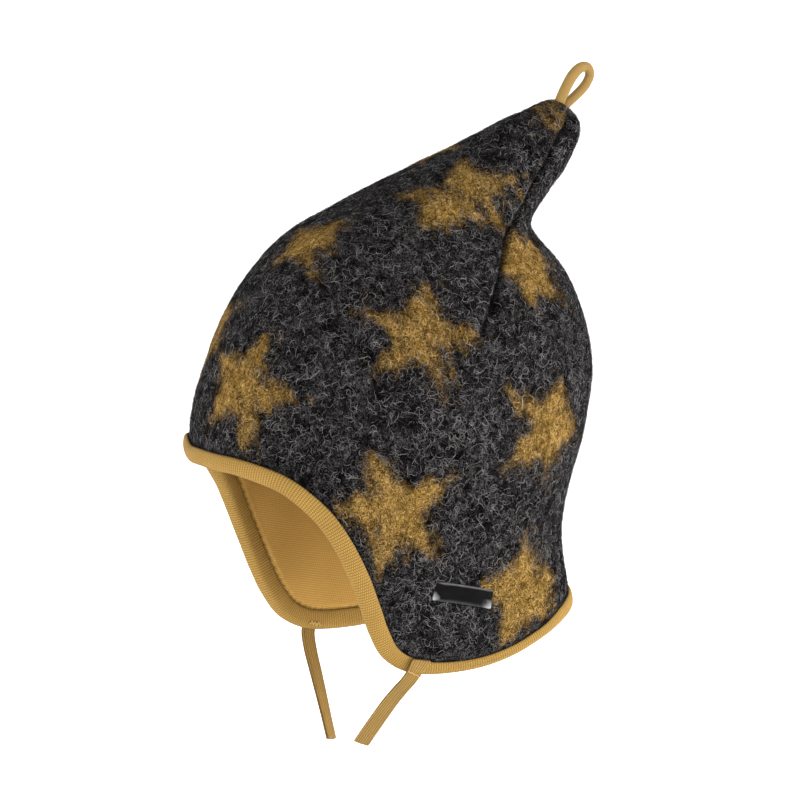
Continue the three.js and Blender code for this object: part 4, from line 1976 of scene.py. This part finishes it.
@dataclass
class TieTacks:
    """Short stitches that hold the ties: a row across each tie at the rim, and a row inside on the binding.

    Pairs hold the value of the outer row and then of the inner one.
    """

    form: CapForm
    ties: tuple[Tie, ...]
    count: int = 6
    row: float = 5.6
    stitch: Span = (1.3, 2.6)
    thick: Span = (0.55, 0.6)
    lean: Span = (0.35, 1.2)
    arch: float = 0.12
    at_share: float = 0.1
    half: float = 0.64
    half_step: float = 0.0035
    into: float = 1.9
    inside: float = -6.1
    points: int = 9

    def outer_row(self, tie: Tie) -> tuple[Array, Array, Array]:
        """Stitches across the tie just under the rim.

        Args:
            tie: the tie.

        Returns:
            Their middles, ways and facings.
        """
        route, _, beside, face = tie.strip()
        place = int(self.at_share * len(route))
        reach = np.linspace(-0.5, 0.5, self.count)[:, None] * self.row
        middle = route[place] + beside[place] * reach + face[place] * (tie.thick / 2 + tie.rib_height)
        ways = np.broadcast_to(beside[place], middle.shape)
        return middle, ways, np.broadcast_to(face[place], middle.shape)

    def inner_row(self, tie: Tie) -> tuple[Array, Array, Array]:
        """Stitches along the binding's inner leg behind the tie.

        Args:
            tie: the tie.

        Returns:
            Their middles, ways and facings.
        """
        half = self.half + self.half_step * np.arange(-1, self.count + 1)
        around, level = self.form.rim_place(half, np.full(half.shape, self.into))
        around = tie.side.sign * around
        line = self.form.off(around, level, np.full(half.shape, self.inside))
        normal = self.form.directions(around, level)[2]
        return line[1:-1], unit(line[2:] - line[:-2]), -normal[1:-1]

    def build(self, material: bpy.types.Material) -> bpy.types.Object:
        """A stitch is an arched spindle: a circle whose size is the root of 1 - t squared, carried along t.

        Args:
            material: the thread's finish.

        Returns:
            The object.
        """
        rows = [make(tie) for make in (self.outer_row, self.inner_row) for tie in self.ties]
        middle, way, face = (np.concatenate(parts) for parts in zip(*rows))
        number = np.arange(len(middle))
        inner = (number >= len(middle) // 2).astype(int)
        stitch, thick, lean = (np.array(pair)[inner, None] for pair in (self.stitch, self.thick, self.lean))
        way = unit(way + np.cross(face, way) * lean * np.where(number % 2 == 0, 1, -1)[:, None])
        side = np.cross(way, face)
        share = np.linspace(-1, 1, self.points)
        turn = np.linspace(0, 2 * np.pi, self.points)[:-1]
        size = np.sqrt(1 - share**2) * thick / 2
        line = middle[:, None] + way[:, None] * (share * stitch / 2)[..., None]
        line = line + face[:, None] * (self.arch * (1 - share**2))[:, None]
        ring = side[:, None] * np.cos(turn)[:, None] - face[:, None] * np.sin(turn)[:, None]
        points = line[:, :, None] + ring[:, None] * size[..., None, None]
        girth = np.linspace(0, np.pi * self.thick[0], self.points)
        flat = np.stack(np.meshgrid(girth, share * self.stitch[0] / 2), axis=-1)
        mesh = many("tie_tacks", points, closed=True, flat=flat)
        weld(mesh)
        return settle(put_object("tie_tacks", mesh, material), "rib_strip")


LOOP_ROUTE = Rows(
    ROUTE,
    [
        (1.8, 78, 144),
        (1.8, 79.6, 148.6),
        (1.6, 82.2, 153.6),
        (1.2, 85.4, 158.4),
        (0.6, 89.4, 161.8),
        (-0.2, 93.2, 162.2),
        (-0.8, 95, 159.2),
        (-1.3, 93.6, 155.2),
        (-1.6, 90.2, 151.4),
        (-1.8, 86.2, 148),
        (-1.8, 82, 144.6),
    ],
)


@dataclass
class TipLoop:
    """The folded jersey strip that the cap hangs by: both ends in the tip's felt, the legs side by side."""

    width: float = 4.8
    thick: float = 3.2
    squareness: float = 2.2
    section_points: int = 40
    steps: int = 120
    narrow: float = 0.14
    narrow_span: Span = (0.35, 0.55)

    def build(self) -> bpy.types.Object:
        """Carries a rounded section along the loop, a little narrower from its turn at the top on.

        Returns:
            The object.
        """
        route = smooth_route(LOOP_ROUTE, self.steps)
        face = np.broadcast_to([1.0, 0, 0], route.shape)
        beside = unit(np.cross(unit(np.gradient(route, axis=0)), face))
        narrow = 1 - self.narrow * smoothstep(*self.narrow_span, np.linspace(0, 1, self.steps))
        section = strip_section(self.width, self.thick, self.section_points, self.squareness)
        section = section[None] * np.stack([narrow, np.ones_like(narrow)], axis=-1)[:, None]
        points, flat = swept(section, route, beside, face)
        finish = JerseyFinish("loop_jersey", srgb(84, 61, 27), srgb(192, 157, 94), wale=0.7, relief=0.3)
        piece = patch_object("tip_loop_strip", Patch(points, flat=flat), finish.material())
        return settle(piece, "loop_strip", "tip_loop")


LABEL_RINGS = Rows(
    ("size", "height"),
    [
        (0, 1),
        (0.25, 1),
        (0.45, 1),
        (0.62, 1),
        (0.76, 1),
        (0.86, 1),
        (0.94, 0.98),
        (0.985, 0.8),
        (1, 0.5),
        (0.985, 0.1),
        (0.9, 0),
        (0.5, 0),
        (0, 0),
    ],
)


@dataclass
class Label:
    """The small bare tab on the left flap. Its painted highlights at the lower corners are given as end,
    width and height.
    """

    form: CapForm
    around: float = 95.0
    level: float = 1.63
    length: float = 27.0
    width: float = 8.0
    thick: float = 0.8
    squareness: float = 14.0
    edge_points: int = 120
    edge_from: float = 0.8
    edge_share: float = 0.35
    tilt: float = -14.0
    lift: float = -0.35
    curl: float = 0.7
    wave: float = 0.12
    wave_turn: float = 0.5
    painted_highlights: tuple[tuple[float, float, float], ...] = ((-1, 2.2, 3.8), (1, 5.2, 3.4))
    corner_span: Span = (1.0, 0.1)
    lower_highlight: float = 0.12
    lower_span: Span = (1.3, 0.2)
    upper_highlight: float = 0.3
    upper_span: Span = (0.7, 0.1)

    def painted_highlight(self, flat: Array) -> Array:
        """Share of painted highlight: a smooth ellipse at each lower corner, and a faint line along both long
        edges.

        Args:
            flat: places on the flat tab.

        Returns:
            The share at each place.
        """
        nearest = np.zeros(flat.shape[:-1])
        for end, wide, high in self.painted_highlights:
            gap = (flat - np.array([end * self.length, -self.width]) / 2) / np.array([wide, high])
            nearest = np.maximum(nearest, smoothstep(*self.corner_span, np.linalg.norm(gap, axis=-1)))
        lower = self.lower_highlight * smoothstep(*self.lower_span, flat[..., 1] + self.width / 2)
        upper = self.upper_highlight * smoothstep(*self.upper_span, self.width / 2 - flat[..., 1])
        return np.maximum(nearest, np.maximum(lower, upper))

    def build(self) -> bpy.types.Object:
        """A rounded rectangle laid along the felt: rings of a superellipse, with the edge turned under.

        Returns:
            The object.
        """
        tilt = np.radians(self.tilt)
        way = np.array([0, np.cos(tilt), np.sin(tilt)])
        normal = self.form.directions(np.array(self.around), np.array(self.level))[2]
        along = unit(way - normal * (way @ normal))
        across = np.cross(normal, along)
        edge = strip_section(2, 2, self.edge_points, self.squareness)
        rings, height = np.split(LABEL_RINGS.values, 2, axis=1)
        size = np.array([self.length, self.width]) / 2
        rim = size - (1 - rings) * size * np.where(rings > self.edge_from, self.edge_share, 1)
        flat = edge[None] * rim[:, None]
        flat[rings[:, 0] == 0] = 0
        grid = flat.shape[:2]
        around, level = self.form.walk(
            np.full(grid, self.around),
            np.full(grid, self.level),
            along * flat[..., :1] + across * flat[..., 1:],
            np.ones(grid),
        )
        # painted highlights at the lower corners and along the long edges; the same share curls the corners
        # up
        painted_highlight = self.painted_highlight(flat)
        wave = self.wave * np.sin(flat[..., 0] * self.wave_turn) * height + self.curl * painted_highlight
        points = self.form.off(around, level, self.lift + self.thick * height + wave)
        patch = Patch(points[::-1], numbers={HIGHLIGHT_MAP: painted_highlight[::-1]})
        return settle(patch_object("label_tab", patch, TabFinish().material()), "tab", "label")


@dataclass(frozen=True)
class SoftLight:
    """A square soft light, placed in metres along the camera's axes."""

    name: str
    right: float
    up: float
    back: float
    power: float
    size: float = 1.2

    def build(self, back: Array, right: Array, up: Array) -> None:
        """Puts the light in its place and turns it to the cap.

        Args:
            back, right, up: the camera's axes.
        """
        spot = Vector(right * self.right + up * self.up + back * self.back)
        lamp = bpy.data.lights.new(self.name, "AREA")
        lamp.size = self.size
        lamp.energy = self.power
        made = bpy.data.objects.new(self.name, lamp)
        made.location = spot
        made.rotation_euler = (-spot).to_track_quat("-Z", "Y").to_euler()
        bpy.context.scene.collection.objects.link(made)


@dataclass(frozen=True)
class Studio:
    """Camera at the picture's angle, pale floor, soft lights and a white surround."""

    azimuth: float = 65.0
    elevation: float = 7.0
    distance: float = 1500.0
    pixels_per_mm: float = 2.36
    picture: float = 800.0
    origin_x: float = 390.0
    origin_y: float = 454.0
    sensor: float = 36.0
    nearest: float = 0.05
    floor: float = -300.0
    floor_columns: int = 96
    floor_rows: int = 3
    floor_reach: float = 3000.0
    floor_bend: float = 2000.0
    bend_rows: int = 17
    wall_top: float = 5000.0
    sky: float = 0.15
    lights: tuple[SoftLight, ...] = (
        SoftLight("left_panel", -1.25, -0.25, 0.9, 22),
        SoftLight("right_panel", 1.5, -0.15, 0.25, 44),
        SoftLight("back_panel", -0.5, 0.5, -1.6, 16),
    )

    def axes(self) -> tuple[Array, Array, Array]:
        """The camera's axes from its two angles.

        Returns:
            Directions to the camera, to the picture's right and to its top.
        """
        turn, lift = np.radians([self.azimuth, self.elevation])
        back = np.array([np.sin(turn) * np.cos(lift), -np.cos(turn) * np.cos(lift), np.sin(lift)])
        right = np.array([np.cos(turn), np.sin(turn), 0])
        return back, right, np.cross(back, right)

    def camera(self) -> None:
        """Sets the camera so that the frame's origin falls on its place in the picture."""
        back, right, up = self.axes()
        middle = self.picture / 2
        shift = right * (middle - self.origin_x) - up * (middle - self.origin_y)
        eye = back * self.distance + shift / self.pixels_per_mm
        lens = bpy.data.cameras.new("camera")
        lens.sensor_width = self.sensor
        lens.lens = self.sensor * self.distance * self.pixels_per_mm / self.picture
        lens.clip_start = self.nearest
        made = bpy.data.objects.new("camera", lens)
        turned = Matrix(np.stack([right, up, back], axis=1)).to_4x4()
        made.matrix_world = Matrix.Translation(Vector(eye * MM)) @ turned
        bpy.context.scene.collection.objects.link(made)
        bpy.context.scene.camera = made

    def build(self) -> None:
        """Makes the floor, which bends up into a ring wall in a quarter circle, the sky and the lights."""
        turn = np.linspace(0, 2 * np.pi, self.floor_columns + 1)[:-1]
        bend = np.linspace(0, np.pi / 2, self.bend_rows)
        level = np.linspace(0, self.floor_reach, self.floor_rows + 1)[:-1]
        top = self.floor_reach + self.floor_bend
        reach = np.concatenate([level, self.floor_reach + self.floor_bend * np.sin(bend), [top]])[:, None]
        height = np.concatenate([level * 0, self.floor_bend * (1 - np.cos(bend)), [self.wall_top]])[:, None]
        height = np.broadcast_to(height + self.floor, (len(height), len(turn)))
        points = np.stack([reach * np.cos(turn), reach * np.sin(turn), height], axis=-1)
        floor = patch_object("pale_floor", Patch(points), PaperFinish().material())
        world = bpy.data.worlds.new("white_surround")
        world.use_nodes = True
        sky = world.node_tree.nodes["Background"]
        sky.inputs["Color"].default_value = (1, 1, 1, 1)
        sky.inputs["Strength"].default_value = self.sky
        bpy.context.scene.world = world
        bpy.context.scene.view_settings.view_transform = "Standard"
        for light in self.lights:
            light.build(*self.axes())


def main() -> None:
    """Builds the camera, the ties, the cloth and the trims in order."""
    logging.basicConfig(level=logging.INFO, format="%(message)s")
    form = CapForm()
    studio = Studio()
    studio.camera()
    ties = (
        Tie(form, TieSide.LEFT, end_slant=0.3, twist=-22),
        Tie(form, TieSide.RIGHT, end_slant=-0.42, twist=24),
    )
    rib = RibFinish(
        "tie_rib",
        srgb(84, 61, 26),
        srgb(172, 138, 76),
        rib=Tie.rib_flat,
        stitch=0.6,
        relief=0.24,
        wobble=0.06,
    ).material()
    for tie in ties:
        tie.build(rib)
    thread = JerseyFinish("tack_thread", srgb(134, 102, 50), srgb(236, 202, 134), wale=0.5, course=0.4)
    TieTacks(form, ties).build(thread.material())
    FeltCrown(form).build()
    Lining(form).build()
    RimBinding(form).build()
    TipLoop().build()
    Label(form).build()
    studio.build()


if __name__ == "__main__":
    main()
